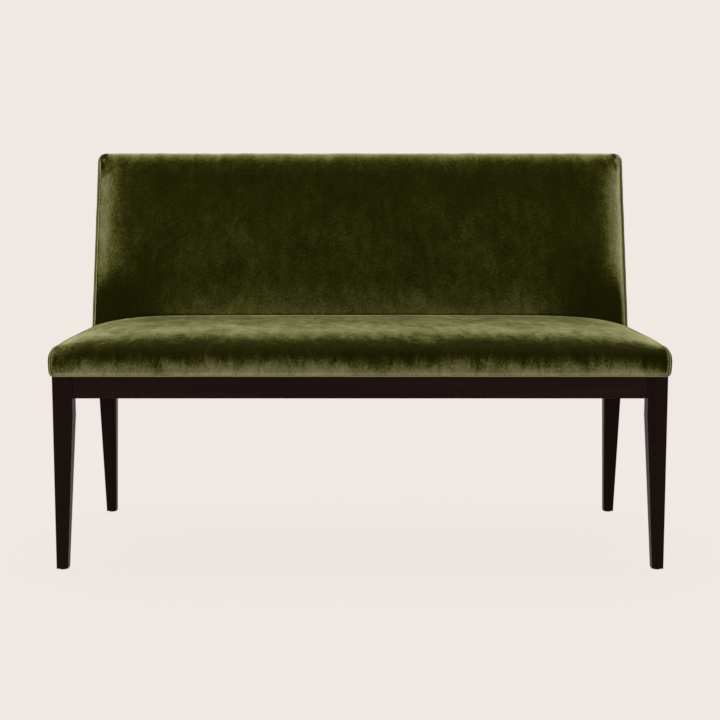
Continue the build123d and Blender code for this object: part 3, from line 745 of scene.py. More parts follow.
# %% Rings of a boxing panel
RIM_STEPS = (  # mm in from the outline, mm out from the seam
    (4.2, -1.6), (2.9, -0.3), (1.7, 0.1), (0.7, 0.5), (0.2, 1.0), (0.0, 1.6),
)
RIM_REACH = 3 * MM
ROLL_STEPS = 9
MIDDLE_SHARES = (0.1, 0.25, 0.45, 0.7, 1.0)
SPINE_TURNS = 44
BOXING_DOME = 1.2 * MM
BOXING_PINCH = 0.25 * MM
BOXING_WAVE = 0.5 * MM
BOXING_WAVE_LENGTH = 90 * MM
BOXING_WAVE_FADE = (2 * MM, 8 * MM)


def full_groove(points):
    return np.ones(len(points))


def boxing_grid(
    outline, spine, seam, end, roll_in, stations, seed, inset=0.0, groove=full_groove
):
    """Rings of a boxing panel on the right: an array of rings, points and (x, y, z)."""
    origins, ways, reach = round_spine(outline, spine, stations, SPINE_TURNS)
    reach, end = reach - inset, end - inset
    rim = [(inward * MM, outward * MM) for inward, outward in RIM_STEPS]
    start_out = rim[-1][1]
    for turn in np.linspace(0, pi / 2, ROLL_STEPS + 1)[1:]:
        rim.append((roll_in * (1 - cos(turn)), start_out + (end - seam - start_out) * sin(turn)))
    edge = origins + ways * reach[:, None]
    way = walked(np.concatenate([edge, edge[:1]]))[:-1]
    pinch = np.cos(2 * pi * way / STITCH_PITCH)
    soft = BOXING_WAVE * waves(way, 0 * way, BOXING_WAVE_LENGTH, seed)
    groove_depth = groove(edge)
    rings = []
    for inward, outward in rim:
        near = hill(inward, 0, RIM_REACH) * (outward > MM)
        deep = groove_depth if outward <= start_out else 1.0
        drawn = inward * deep + BOXING_PINCH * pinch * near
        points = origins + ways * (reach - drawn)[:, None]
        out = seam + outward + soft * eased(outward, *BOXING_WAVE_FADE)
        rings.append(np.column_stack([out, points]))
    for share in MIDDLE_SHARES:
        points = origins + ways * ((reach - roll_in) * (1 - share))[:, None]
        out = end + BOXING_DOME * sin(share * pi / 2) + soft * (1 - share)
        rings.append(np.column_stack([out, points]))
    return np.array(rings)


def boxing_mesh(name, rings, side):
    """A boxing panel's mesh, closed round its rings and along its spine."""
    closed = np.concatenate([rings, rings[:, :1]], axis=1) * (side, 1, 1)
    mesh = grid_mesh(name, closed, closed[:, :, 1:], mirrored=side < 0)
    with opened(mesh) as work:
        bmesh.ops.remove_doubles(work, verts=work.verts, dist=0.02 * MM)
    return mesh


print("a boxing panel has", len(RIM_STEPS) + ROLL_STEPS + len(MIDDLE_SHARES), "rings")

# %% [markdown]
# The seat's boxing follows the seat panel's own outline at the side seam. It could be drawn anew,
# but then the two edges of the seam would never quite be the same line. The spine lies level in the
# middle of the panel, so that the rays reach every side of it.

# %% Seat boxing
REAR_FOOT_IN = 6 * MM
SEAT_SPINE = (
    (SEAT_FRONT + 34 * MM, HEM + 30 * MM),
    (BACK_FOOT - 32 * MM, HEM + 35 * MM),
)
SEAT_ROLL_IN = 14 * MM
SEAT_STATIONS = 110
SEAT_SEED = 11

seat_end_outline = seat_profile(SEAT_SEAM)[HEM_ROWS - 1 :]
rear_foot = (seat_end_outline[-1][0] - REAR_FOOT_IN, HEM)
seat_end_outline = np.concatenate([seat_end_outline, [rear_foot]])
seat_boxing = (seat_end_outline, SEAT_SPINE, SEAT_SEAM, SEAT_END - BOXING_DOME, SEAT_ROLL_IN)
seat_rings = tucked(boxing_grid(*seat_boxing, SEAT_STATIONS, SEAT_SEED))
print("seat boxing:", seat_rings.shape[0], "rings of", seat_rings.shape[1], "points")

# %% [markdown]
# The back is upholstered like the seat, on a frame that leans. Its front panel comes up from behind
# the seat, crowns over the foam, turns over the top edge and meets the outside back in a seam along
# the top's rear. It could be modelled upright and then rotated, but its foot has to follow the
# level seat. So places on it are a distance up the lean and a distance behind the front plane, and
# one function turns those two into Y and Z.

# %% The back's outlines
BACK_CROWN = 11.0 * MM
BACK_FADE = 48.0 * MM
CROWN_LIFT = 8.0 * MM
BACK_OUTLINE_SHARES = ((0.0, 0.0), (0.266, 0.86), (0.57, 1.0), (0.86, 0.8))
TURN_SHARES = ((0.0, 0.3), (0.5, 0.1), (1.0, 0.0))
BACK_EDGE_ROLL = 3.0 * MM
CORNER_ROUND = 23.0 * MM
CORNER_STEEP = 4 * MM  # the arc's last bit, too steep for the cloth, is left out
CORNER_FADE = 2.5 * CORNER_ROUND  # down from the top edge
TOP_SEAM_IN = 2.4 * MM
BACK_FACE_ROWS = 140
BACK_TOP_ROWS = 12
BACK_EDGE_ROWS = 6
crown_foot = (SEAT_EDGE + SEAT_CROWN) / cos(BACK_LEAN) + CROWN_LIFT


def on_back(up, behind):
    """A point of the back's cross-section as (y, z)."""
    return (
        BACK_FOOT + up * sin(BACK_LEAN) + behind * cos(BACK_LEAN),
        rail_hi.z + up * cos(BACK_LEAN) - behind * sin(BACK_LEAN),
    )


def up_to(height, behind):
    """How far up the lean a plane of the back passes a height."""
    return (height - rail_hi.z + behind * sin(BACK_LEAN)) / cos(BACK_LEAN)


def back_profile(x):
    """The back's outline at x, from behind the seat up, over the top and to its rear seam."""
    crown = BACK_CROWN * crown_at(x, BACK_SEAM, BACK_FADE)
    rise = [on_back(up_to(plank_hi.z + REST, 0), 0)]
    for height, crowned in BACK_OUTLINE_SHARES:
        up = crown_foot + height * (BACK_LENGTH - crown_foot)
        rise.append(on_back(up, -crowned * crown))
    for turn, crowned in TURN_SHARES:
        up = BACK_LENGTH - BACK_ROUND * (1 - sin(turn * pi / 2))
        behind = BACK_ROUND * (1 - cos(turn * pi / 2)) - crowned * crown
        rise.append(on_back(up, behind))
    last = BACK_THICK - BACK_EDGE_ROLL
    edge = on_back(BACK_LENGTH, BACK_THICK - TOP_SEAM_IN)
    dive = on_back(BACK_LENGTH - TOP_SEAM_IN, BACK_THICK - TOP_SEAM_IN / 2)
    return chain(
        spaced(spline(rise), BACK_FACE_ROWS),
        spaced([rise[-1], on_back(BACK_LENGTH, last)], BACK_TOP_ROWS),
        corner(on_back(BACK_LENGTH, last), edge, dive, BACK_EDGE_ROWS),
    )


def rounded(points):
    """Lowers the back's top edge towards its ends, so that its corners are round."""
    y, z = points[..., 1] - BACK_FOOT, points[..., 2] - rail_hi.z
    up = y * sin(BACK_LEAN) + z * cos(BACK_LEAN)
    past = np.abs(points[..., 0]) - BACK_END + CORNER_ROUND
    over = np.clip(past, 0, CORNER_ROUND - CORNER_STEEP)
    drop = CORNER_ROUND - np.sqrt(CORNER_ROUND**2 - over**2)
    drop = drop * eased(up, BACK_LENGTH - CORNER_FADE, BACK_LENGTH)
    moved = points.copy()
    moved[..., 1] -= drop * sin(BACK_LEAN)
    moved[..., 2] -= drop * cos(BACK_LEAN)
    return moved


back_x = columns(BACK_SEAM)
back_form = np.array([[(x, y, z) for y, z in back_profile(x)] for x in back_x])
print("back panel:", back_form.shape[0], "columns and", back_form.shape[1], "rows")

# %% [markdown]
# Where the back's top edge meets its ends, the velvet has to bend two ways at once, and the surplus
# is eased into small folds. A simulation makes such folds, but anywhere it likes. Here they are a
# ripple that turns round the corner and dies out, so they stay where the real ones are. Under the
# bunched cloth the seam's groove is almost lost.

# %% Gathers at the back's corners
GATHER = 0.9 * MM
GATHER_PITCH = 8.5 * MM
GATHER_RING = (19 * MM, 10 * MM)  # how far from the corner the folds are highest, and their reach
GATHER_START = (4 * MM, 14 * MM)
GATHER_OVER = 6 * MM  # the folds' centre lies this far past the turn over the edge
CORNER_BEHIND = 5 * MM
BACK_GROOVE = 0.7  # its seams are pulled less deep than the seat's
CORNER_EASE = 0.85  # how much of the groove is lost where the cloth is bunched round a corner
CORNER_REACH = 17.0 * MM


def corner_groove(points):
    """How deep the groove is at (y, z) points of the back's outline."""
    y, z = on_back(BACK_LENGTH, CORNER_BEHIND)
    far = np.hypot(points[..., 0] - y, points[..., 1] - z)
    return BACK_GROOVE * (1 - CORNER_EASE * hill(far, 0, CORNER_REACH))


def gathers(away, to_seam):
    """Small folds across the back's top corners, where the cloth is eased round them."""
    down = to_seam - BACK_THICK + GATHER_OVER
    far = np.hypot(away, down)
    turn = np.arctan2(down, away + 1e-9)
    folds = np.sin(2 * pi * far / GATHER_PITCH + 2 * turn) + 0.5 * np.sin(9 * turn)
    return GATHER * folds * hill(far, *GATHER_RING) * eased(down, *GATHER_START)


print("a gather every", round(GATHER_PITCH / MM, 1), "mm")

# %% [markdown]
# The back's front panel, like the seat's, is its drawn form with heights on it: the swelling, the
# foam's waves, lumps along the top where the cloth is pulled over the edge, the marks of the side
# seams and the gathers. One noise for everything would be quicker, but each of these has its own
# size and its own place on a real back.

# %% Back panel
BACK_FULLNESS = 0.004
BACK_CAP = 1.2 * MM
BACK_WAVE_LENGTH = 170 * MM
BACK_FOOT_FADE = (10 * MM, 60 * MM)
BACK_TOP_FADE = (0, 16 * MM)
BACK_MARKS_FADE = (0, 3 * MM)
TOP_LUMP = 0.7 * MM
LUMP_LENGTH = 45 * MM
LUMP_STRETCH = 1.5
LUMP_REACH = 26 * MM
LUMP_FADE = 25 * MM
HELD_REACH = 60 * MM
BACK_RIDGE = 0.4

back_flat = flat_map(back_form)
back_across, back_along = back_flat[:, :, 0], back_flat[:, :, 1]
back_away = BACK_SEAM - np.abs(back_form[:, :, 0])
back_way = back_along[0]
to_top_seam = back_way[-1] - back_along
top_turn = BACK_THICK  # along the cloth, from the top seam to the turn over the edge
back_free = eased(back_along, *BACK_FOOT_FADE) * eased(to_top_seam, *BACK_TOP_FADE)
back_held = 1 - back_free * eased(to_top_seam, top_turn, top_turn + HELD_REACH)
foam_wave = waves(back_across, back_along, BACK_WAVE_LENGTH, seed=23)
top_lumps = waves(back_across, back_along, LUMP_LENGTH, seed=29, stretch=LUMP_STRETCH)
top_lumps = top_lumps * hill(to_top_seam, top_turn, LUMP_REACH) * eased(back_away, 0, LUMP_FADE)
back_soft = back_free * (
    swelling("back_cloth", back_form, back_held, BACK_FULLNESS, BACK_CAP) * (1 - back_held)
    + FOAM_WAVE * foam_wave * eased(back_away, 0, WAVE_FADE)
    + TOP_LUMP * top_lumps
)
back_depth = corner_groove(back_form[:, :, 1:])
back_marks = seam_marks(
    back_away, back_along, seed=31, groove=back_depth, ridge=BACK_RIDGE
) * eased(to_top_seam, *BACK_MARKS_FADE)
back_heights = back_soft + back_marks + gathers(back_away, to_top_seam)
back_grid = rounded(lift(back_form, back_heights))
print("back panel heights up to", round(float(back_heights.max()) / MM, 1), "mm")

# %% [markdown]
# The back's ends are closed in the same way as the seat's. Only the outline differs: it climbs the
# lean, turns over the top edge and comes down the outside back. It could be cut from the finished
# panels, but the few sizes that shape them draw it more simply.

# %% Back boxing
BACK_ROLL_IN = 11 * MM
BACK_STATIONS = 130
BACK_SEED = 37
TURN_POINTS = 16
SPINE_FOOT = 0.72  # of the back's thickness, up the lean

turn_line = [
    on_back(BACK_LENGTH - BACK_ROUND * (1 - sin(turn)), BACK_ROUND * (1 - cos(turn)))
    for turn in np.linspace(0, pi / 2, TURN_POINTS)
]
roll_start = on_back(BACK_LENGTH, BACK_THICK - BACK_EDGE_ROLL)
roll_end = on_back(BACK_LENGTH - BACK_EDGE_ROLL, BACK_THICK)
back_end_outline = chain(
    np.array([on_back(up_to(HEM, 0), 0), turn_line[0]]),
    np.array(turn_line),
    np.array([turn_line[-1], roll_start]),
    corner(roll_start, on_back(BACK_LENGTH, BACK_THICK), roll_end),
    np.array([roll_end, on_back(up_to(HEM, BACK_THICK), BACK_THICK)]),
)
back_spine = (
    on_back(BACK_THICK * SPINE_FOOT, BACK_THICK / 2),
    on_back(BACK_LENGTH - BACK_THICK / 2, BACK_THICK / 2),
)
back_boxing = (back_end_outline, back_spine, BACK_SEAM, BACK_END - BOXING_DOME, BACK_ROLL_IN)
back_rings = rounded(boxing_grid(*back_boxing, BACK_STATIONS, BACK_SEED, groove=corner_groove))
print("back boxing:", back_rings.shape[0], "rings of", back_rings.shape[1], "points")

# %% [markdown]
# Behind, the settee is closed by one flat piece of the same velvet, sewn to the other panels at the
# top and sides, pulled down over a board and turned under at the rear rail. A plane would look like
# plastic. So it gets a slight dome, a dip at its seams, the slow waves of stretched cloth and short
# upright ripples near its foot.

# %% Outside back
OUTSIDE_DOME = 1.5 * MM
OUTSIDE_DIP = 2.6 * MM
OUTSIDE_DIP_FADE = (-1 * MM, 2 * MM)
OUTSIDE_RETURN = 10.0 * MM
FOLD_ROWS = 5  # points in the fold at its foot
RETURN_ROWS = 4
OUTSIDE_EDGE = 14 * MM  # the dome has mostly risen this far from a seam
OUTSIDE_WAVE = 0.35 * MM
OUTSIDE_WAVE_LENGTH = 140 * MM
OUTSIDE_RIPPLE = 0.3 * MM
OUTSIDE_RIPPLE_LENGTH = 24 * MM
OUTSIDE_RIPPLE_REACH = 28 * MM
OUTSIDE_FADE = 12 * MM

outside_top = BACK_LENGTH - TOP_SEAM_IN
outside_run = outside_top - up_to(HEM + HEM_ROLL, BACK_THICK)
outside_down = columns(outside_run / 2) + outside_run / 2


def outside_profile():
    """The outside back's outline, from its top seam down and under to the rear rail."""
    foot_y = on_back(up_to(HEM, BACK_THICK), BACK_THICK)[0]
    down = [on_back(outside_top - way, BACK_THICK) for way in outside_down]
    return chain(
        np.array(down),
        corner(down[-1], (foot_y, HEM), (foot_y - HEM_ROLL, HEM), FOLD_ROWS),
        spaced([(foot_y - HEM_ROLL, HEM), (foot_y - OUTSIDE_RETURN, HEM)], RETURN_ROWS),
    )


outside_form = np.array([[(x, y, z) for y, z in outside_profile()] for x in back_x])
outside_flat = flat_map(outside_form)
outside_away = BACK_SEAM - np.abs(outside_form[:, :, 0])
outside_way = outside_flat[:, :, 1]
above_fold = np.maximum(outside_down[-1] - outside_way, 0)
drawn_in = np.maximum(hill(outside_away, 0, GROOVE_WIDTH), hill(outside_way, 0, GROOVE_WIDTH))
tight = 1 - np.exp(-outside_away / OUTSIDE_EDGE)
tight = tight * (1 - np.exp(-outside_way / OUTSIDE_EDGE))
outside_across = outside_flat[:, :, 0]
outside_wave = waves(outside_across, outside_way, OUTSIDE_WAVE_LENGTH, seed=41)
outside_ripple = waves(
    outside_across, outside_way, OUTSIDE_RIPPLE_LENGTH, seed=43, stretch=RIPPLE_STRETCH
)
outside_heights = eased(above_fold, 0, OUTSIDE_FADE) * (
    OUTSIDE_DOME * tight
    + OUTSIDE_WAVE * tight * outside_wave
    + OUTSIDE_RIPPLE * outside_ripple * np.exp(-above_fold / OUTSIDE_RIPPLE_REACH)
)
outside_heights -= OUTSIDE_DIP * drawn_in * eased(above_fold, *OUTSIDE_DIP_FADE)
outside_grid = rounded(lift(outside_form, outside_heights))
print("outside back:", outside_grid.shape[0], "columns and", outside_grid.shape[1], "rows")

# %% [markdown]
# Velvet is a forest of short fibres that all lean one way. Seen along the fibres it swallows light
# and is nearly black; seen from aside it shines. Blender's hair could grow that forest, but it
# would be millions of strands, and a shader that asks where the camera stands would look right from
# one side only. So this light and shade is painted into the colour: the nearer the surface faces a
# fixed direction of its panel, the darker it is painted, through a row of tones from black-green to
# straw, painted shade at one end and painted sheen at the other. The surface's sideways turn is
# exaggerated first, so that the painted sheen grows fast towards the ends. Three noises, for
# patches, strokes and tufts, turn the nap a little this way and that, as hands and pressing have
# done, and a real sheen lights the surface at grazing angles.

# %% Velvet
# Tones of painted shade and painted sheen, picked by how far a surface turns from its panel's fixed
# direction.
PAINTED_PILE_TONES = (  # painted shade to painted sheen, then a duller tone at the end
    (0.0, rgb(31, 32, 5)),
    (0.1, rgb(40, 40, 8)),
    (0.18, rgb(57, 58, 19)),
    (0.27, rgb(85, 85, 41)),
    (0.36, rgb(106, 106, 66)),
    (0.5, rgb(126, 124, 90)),
    (0.8, rgb(165, 161, 114)),
    (1.0, rgb(96, 95, 57)),
)
PILE_SHEEN = rgb(214, 210, 150)
SHEEN_WEIGHT = 0.3
SHEEN_ROUGHNESS = 0.3
PILE_ROUGHNESS = 0.9
NAP_NOISES = (  # share of its size along the cloth, scale, detail, roughness, distortion
    (0.8, 8.0, 5.0, 0.66, 0.4),
    (0.5, 46.0, 4.0, 0.6, 0.6),
    (0.7, 240.0, 3.0, 0.65, 0.0),
)
NAP_BUMPS = (0.01, 0.003, 0.0003)  # of patches, strokes and tufts, in metres
NAP_UNREST = 0.6  # how much of the noises still shows in the painted shade, facing the shaded way


def no_marks(recipe, across, along):
    return 0.0


def nap_noise(recipe, cloth, drawn, *settings):
    """A noise on the cloth's flat map."""
    return recipe.noise(recipe.along("MULTIPLY", cloth, (1, drawn, 1)), *settings)


def velvet(name, shaded_way, side_gain, shares, marks=no_marks, sheen=PILE_SHEEN):
    """Moss-green velvet: painted shade where it faces `shaded_way`, painted sheen elsewhere.

    `side_gain` says how much more its sideways turn counts than the cloth's own, and `shares`
    how far patches, strokes and tufts of the nap shift the tone this way or that."""
    recipe = Recipe(name)
    cloth = recipe.node("ShaderNodeUVMap", {"uv_map": "cloth"})
    patches, strokes, tufts = (nap_noise(recipe, cloth, *noise) for noise in NAP_NOISES)
    normal = recipe.node("ShaderNodeNewGeometry", output="Normal")
    # Painted shade and sheen: the tone rises as the surface turns away from shaded_way.
    widened = recipe.along("NORMALIZE", recipe.along("MULTIPLY", normal, (side_gain, 1, 1)))
    away = 1 - recipe.along("DOT_PRODUCT", widened, shaded_way, output="Value")
    unrest = (patches - 0.5) * shares[0] + (strokes - 0.5) * shares[1] + (tufts - 0.5) * shares[2]
    light = away + unrest * (away + NAP_UNREST)
    across, along = (
        recipe.node("ShaderNodeSeparateXYZ", {}, {"Vector": cloth}, output=axis) for axis in "XY"
    )
    light = light + marks(recipe, across, along)
    height = patches * NAP_BUMPS[0] + strokes * NAP_BUMPS[1] + tufts * NAP_BUMPS[2]
    return recipe.finish(
        Base_Color=recipe.ramp(light, *PAINTED_PILE_TONES),
        Roughness=PILE_ROUGHNESS,
        Specular_IOR_Level=0.0,
        Sheen_Weight=SHEEN_WEIGHT,
        Sheen_Roughness=SHEEN_ROUGHNESS,
        Sheen_Tint=sheen,
        Normal=recipe.bump(height, 1.0, 1.0),
    )


def pointing(rise, sideways=0.0):
    """A direction out of the front, so many degrees up from level."""
    return (sideways, -cos(radians(rise)), sin(radians(rise)))


print("velvet has", len(PAINTED_PILE_TONES), "tones")

# %% [markdown]
# More light and shade is painted onto the seat panel. Up the front of the seat the painted tone
# rises and falls: a painted highlight along the fold over the hem, lighter over the top, painted
# shade towards the rear beside the back and a painted highlight along its crest. There is painted
# shade low on the right end's front, painted light and shade in bands up the left end, and a thin
# line of painted shade beside each side seam with a painted highlight at the seam itself. A painted
# mask could hold all this, but ramps over the distance along and across the cloth stay sharp at any
# size and can be read in millimetres.

# %% Painted light and shade on the seat
SEAT_PAINTED_LIGHT = (  # mm up the cloth from the hem, and how much painted light lies there; below 0, painted shade
    (-4, 0.02), (2, 0.16), (9, -0.02), (18, -0.03), (42, 0.02), (65, -0.03), (95, 0.0),
    (140, 0.14), (200, 0.09), (310, -0.06), (430, -0.13), (484, -0.14), (500, 0.06), (532, 0.12),
)
PAINTED_RANGE = 0.5
RIGHT_END_SHADE = 0.3
END_WIDE = 80 * MM
FRONT_HIGH = 70 * MM
SEAM_SHADE = 0.55
SEAM_WIDE = 8 * MM
LEFT_END_LIGHT = 0.45
LEFT_END_WIDE = 60 * MM
LEFT_END_HIGH = 80 * MM
hem_at = float(seat_along[0, hem_row])


def seat_light_and_shade(recipe, across, along):
    """How much painted light or painted shade lies at each place of the seat panel."""
    up = along - hem_at
    first, last = SEAT_PAINTED_LIGHT[0][0], SEAT_PAINTED_LIGHT[-1][0]
    place = (up - first * MM) / ((last - first) * MM)
    stops = [((way - first) / (last - first), 0.5 + painted_tone / PAINTED_RANGE) for way, painted_tone in SEAT_PAINTED_LIGHT]
    # Painted light and shade up the seat's cloth, from the table.
    painted_tone = (recipe.ramp(place, *stops) - 0.5) * PAINTED_RANGE
    # Painted shade low on the right end's front.
    end = recipe.ramp((across - SEAT_SEAM) / END_WIDE + 1, (0.2, 0.0), (0.9, 1.0))
    front = recipe.ramp(up / FRONT_HIGH, (0.0, 0.3), (0.2, 1.0), (0.7, 1.0), (1.0, 0.0))
    # Painted shade in a thin line beside each side seam, and a painted highlight at the seam.
    beside = (across.math("ABSOLUTE", across) - SEAT_SEAM) / SEAM_WIDE + 1
    seam = recipe.ramp(beside, (0.3, 0.5), (0.5, 0.4), (0.65, 0.0), (0.8, 0.1), (0.95, 1.0))
    # Painted light and shade in bands up the left end.
    left = recipe.ramp((across + SEAT_SEAM) / LEFT_END_WIDE, (0.1, 1.0), (1.0, 0.0))
    painted_by_height = recipe.ramp(
        up / LEFT_END_HIGH, (0.03, 0.5), (0.1, 0.1), (0.35, 0.2), (0.6, 1.0), (0.8, 0.9), (1.0, 0.5)
    )
    ends = (seam - 0.5) * SEAM_SHADE + left * (painted_by_height - 0.5) * LEFT_END_LIGHT
    return painted_tone + ends - end * front * RIGHT_END_SHADE


print("up the seat the nap's lie is set at", len(SEAT_PAINTED_LIGHT), "places")

# %% [markdown]
# More light and shade is painted onto the back's front panel. Its lower middle is painted paler,
# as painted light, and there is painted shade low towards the ends, a painted shadow along the line
# where the seat presses on it and painted shade in the gathers of the top corners. The right edge
# gets a painted highlight and the left one painted shade, a painted highlight runs along the top
# edge, and over the top edge most of the painted sheen is taken off again. These could be lamps and
# shadows, but then they would move with the light; the same kind of ramps as on the seat fixes each
# of them to its place in the cloth.

# %% Painted light and shade on the back
BACK_LOW_LIGHT = 0.2
BACK_LOW_LIGHT_HIGH = 420 * MM
BACK_LOW_LIGHT_IN = 260 * MM
LOW_SHADE = 0.16
LOW_HIGH = 200 * MM
LOW_IN = 180 * MM
CORNER_SHADE = 0.8
CORNER_WIDE = 26 * MM
CORNER_HIGH = 28 * MM
CORNER_OVER = 8 * MM
RIGHT_HIGHLIGHT = 0.46
RIGHT_WIDE = 20 * MM
LEFT_SHADE = 0.18
LEFT_WIDE = 24 * MM
TOP_HIGHLIGHT = 0.07
TOP_WIDE = 40 * MM
TOP_SHEEN_CUT = 1.0
TOP_FACE_WIDE = 24 * MM
CONTACT_SHADOW = 0.1
CONTACT_WIDE = 5 * MM
CONTACT_IN = 150 * MM
LOWER_ROWS = 100  # of the back's rows, enough to pass the seat's top

seat_top = rail_hi.z + SEAT_EDGE + SEAT_CROWN
lower = (back_form.shape[0] // 2, slice(LOWER_ROWS))
contact_at = float(np.interp(seat_top, back_form[lower][:, 2], back_along[lower]))
corner_at = float(back_way[-1]) - BACK_THICK + CORNER_OVER


def back_light_and_shade(recipe, across, along):
    """How much painted light or painted shade lies at each place of the back's front panel."""
    inward = BACK_SEAM - across.math("ABSOLUTE", across)
    past = along - corner_at
    # Painted light: paler low in the middle.
    painted_by_height = recipe.ramp(along / BACK_LOW_LIGHT_HIGH, (0.2, 1.0), (0.4, 0.55), (1.0, 0.0))
    painted_by_height = painted_by_height * recipe.ramp(inward / BACK_LOW_LIGHT_IN, (0.1, 0.0), (1.0, 1.0))
    # Painted shade low towards the ends.
    low = recipe.ramp(along / LOW_HIGH, (0.5, 1.0), (1.0, 0.0))
    low = low * recipe.ramp(inward / LOW_IN, (0.03, 0.3), (0.1, 1.0), (0.5, 0.7), (1.0, 0.0))
    # Painted shade in the gathers of the top corners.
    beside, below = inward / CORNER_WIDE, past / CORNER_HIGH
    near = recipe.ramp((beside * beside + below * below) ** 0.5, (0.2, 1.0), (1.0, 0.0))
    # Painted highlight along the right edge.
    right = (across - BACK_SEAM) / RIGHT_WIDE + 1
    right = recipe.ramp(right, (0.0, 0.0), (0.4, 0.2), (0.9, 1.0))
    # Painted shade along the left edge.
    left = recipe.ramp((across + BACK_SEAM) / LEFT_WIDE, (0.2, 1.0), (1.0, 0.0))
    # Painted highlight along the top edge; over it most of the painted sheen is taken off.
    top = recipe.ramp(past / TOP_WIDE + 1, (0.0, 0.0), (0.6, 1.0))
    top_face = recipe.ramp(past / TOP_FACE_WIDE + 0.5, (0.35, 0.0), (1.0, 1.0))
    # Painted shadow where the seat meets the back.
    contact = recipe.ramp((along - contact_at) / CONTACT_WIDE, (0.2, 1.0), (1.0, 0.0))
    contact = contact * recipe.ramp(inward / CONTACT_IN, (0.2, 0.0), (0.8, 1.0))
    lighter = painted_by_height * BACK_LOW_LIGHT + right * RIGHT_HIGHLIGHT + top * TOP_HIGHLIGHT
    darker = low * LOW_SHADE + near * CORNER_SHADE + left * LEFT_SHADE
    return lighter - darker - top_face * TOP_SHEEN_CUT - contact * CONTACT_SHADOW


print("the seat meets the back", round(contact_at / MM), "mm up the back's cloth")

# %% [markdown]
# It is the same velvet everywhere, but each panel has its own fixed direction for the painted shade
# and sheen: up and forward on the seat, nearly level on the back, outwards on the ends and behind.
# Each panel could be painted its own green. Turning that direction instead keeps one cloth, and its
# painted light and shade follow by themselves.

# %% A velvet for each panel
SEAT_SHADED_RISE = 43.5
BACK_SHADED_RISE = -3.0
REAR_SHADED_WAY = (0.0, 0.98, 0.2)
END_SHADED_RISE = 0.05
SEAT_SHARES = (0.62, 0.6, 0.55)
BACK_SHARES = (0.3, 0.3, 0.5)
SEAT_SIDE_GAIN = 4.2
BACK_SIDE_GAIN = 7.2
END_SIDE_GAIN = 1.6
END_SHEEN = rgb(204, 194, 96)

# Directions where each panel's painted shade is darkest.
seat_shaded_way = pointing(SEAT_SHADED_RISE, -0.04)
back_shaded_way = pointing(BACK_SHADED_RISE, 0.015)
velvet_seat = velvet("moss_velvet_seat", seat_shaded_way, SEAT_SIDE_GAIN, SEAT_SHARES, seat_light_and_shade)
velvet_back = velvet("moss_velvet_back", back_shaded_way, BACK_SIDE_GAIN, BACK_SHARES, back_light_and_shade)
velvet_rear = velvet("moss_velvet_rear", REAR_SHADED_WAY, BACK_SIDE_GAIN, BACK_SHARES)
velvet_ends = {}
for word, side in (("left", -1), ("right", 1)):
    end_shaded_way = (side, 0.0, END_SHADED_RISE)
    velvet_ends[side] = velvet(
        f"moss_velvet_{word}", end_shaded_way, END_SIDE_GAIN, BACK_SHARES, sheen=END_SHEEN
    )
print("velvet has", len(velvet_seat.node_tree.nodes), "nodes")

# %% [markdown]
# The base is a hardwood with a near-black brown stain under a satin lacquer. So little of the grain
# comes through that it would be missed only if it weren't there: a noise drawn out along each board
# shifts the stain a little and leaves shallow pores in the lacquer. A picture of wood would repeat,
# and has no idea which way a board runs. The front legs get a darker stain than the rails, and the
# rear legs a darker copy still, which is painted shade. Where the long rails butt a leg, a thin
# dark line marks the joint; it is colour, because the solid model stays as it is. The frame inside
# is the same wood, left bare, so one recipe with other tones serves both.

# %% Wood
GRAIN_DRAWN = 0.05  # textures are drawn out twenty times along the grain
FIGURE = (30.0, 3.0, 0.55, 0.8)  # scale, detail, roughness and distortion
FIBRE = (500.0, 3.0, 0.6)
FIBRE_GLOSS = 0.12
PORE_DEPTH = 0.0006
JOINT_LINE = 2.6 * MM
JOINT_TONE = rgb(3, 1, 1)


def wood(name, grain, dark, light, roughness, gloss, pores, end=None):
    """Wood whose grain runs along X, Y or Z; a board that butts a leg is darker there, at `end`."""
    recipe = Recipe(name)
    place = recipe.place(tuple(GRAIN_DRAWN if axis == grain else 1.0 for axis in "XYZ"))
    figure = recipe.noise(place, *FIGURE)
    fibre = recipe.noise(place, *FIBRE)
    shade = recipe.ramp(figure * 0.65 + fibre * 0.35, (0.36, 0.0), (0.64, 1.0))
    tone = recipe.blend(shade, dark, light)
    if end:
        way = recipe.node("ShaderNodeSeparateXYZ", {}, {"Vector": recipe.place()}, output=grain)
        past = way.math("ABSOLUTE", way) - end
        line = recipe.ramp(past / JOINT_LINE + 1, (0.0, 0.0), (0.4, 1.0))
        tone = recipe.blend(line, tone, JOINT_TONE)
    return recipe.finish(
        Base_Color=tone,
        Roughness=roughness + (fibre - 0.5) * FIBRE_GLOSS,
        Specular_IOR_Level=gloss,
        Normal=recipe.bump(fibre * 0.7 + figure * 0.3, pores, PORE_DEPTH),
    )


# dark tone, light tone, roughness, gloss and how much the pores show
STAIN = (rgb(24, 10, 9), rgb(37, 18, 16), 0.42, 0.07, 0.35)
LEG_STAIN = (rgb(19, 7, 6), rgb(30, 14, 12), 0.42, 0.06, 0.35)
# Painted shade: the rear legs get a darker copy of the same stain.
SHADED_STAIN = (rgb(13, 6, 4), rgb(21, 11, 8), 0.42, 0.05, 0.35)
BARE = (rgb(176, 134, 88), rgb(206, 168, 120), 0.62, 0.35, 0.6)
stained = {
    "X": wood("dark_stain_X", "X", *STAIN, end=rail_hi.x),
    "Y": wood("dark_stain_Y", "Y", *STAIN),
    "Z": wood("dark_stain_Z", "Z", *LEG_STAIN),
}
shaded_stained = wood("shaded_stain_Z", "Z", *SHADED_STAIN)
bare = {axis: wood(f"bare_wood_{axis}", axis, *BARE) for axis in "XYZ"}
print("woods:", [material.name for material in (*stained.values(), *bare.values())])

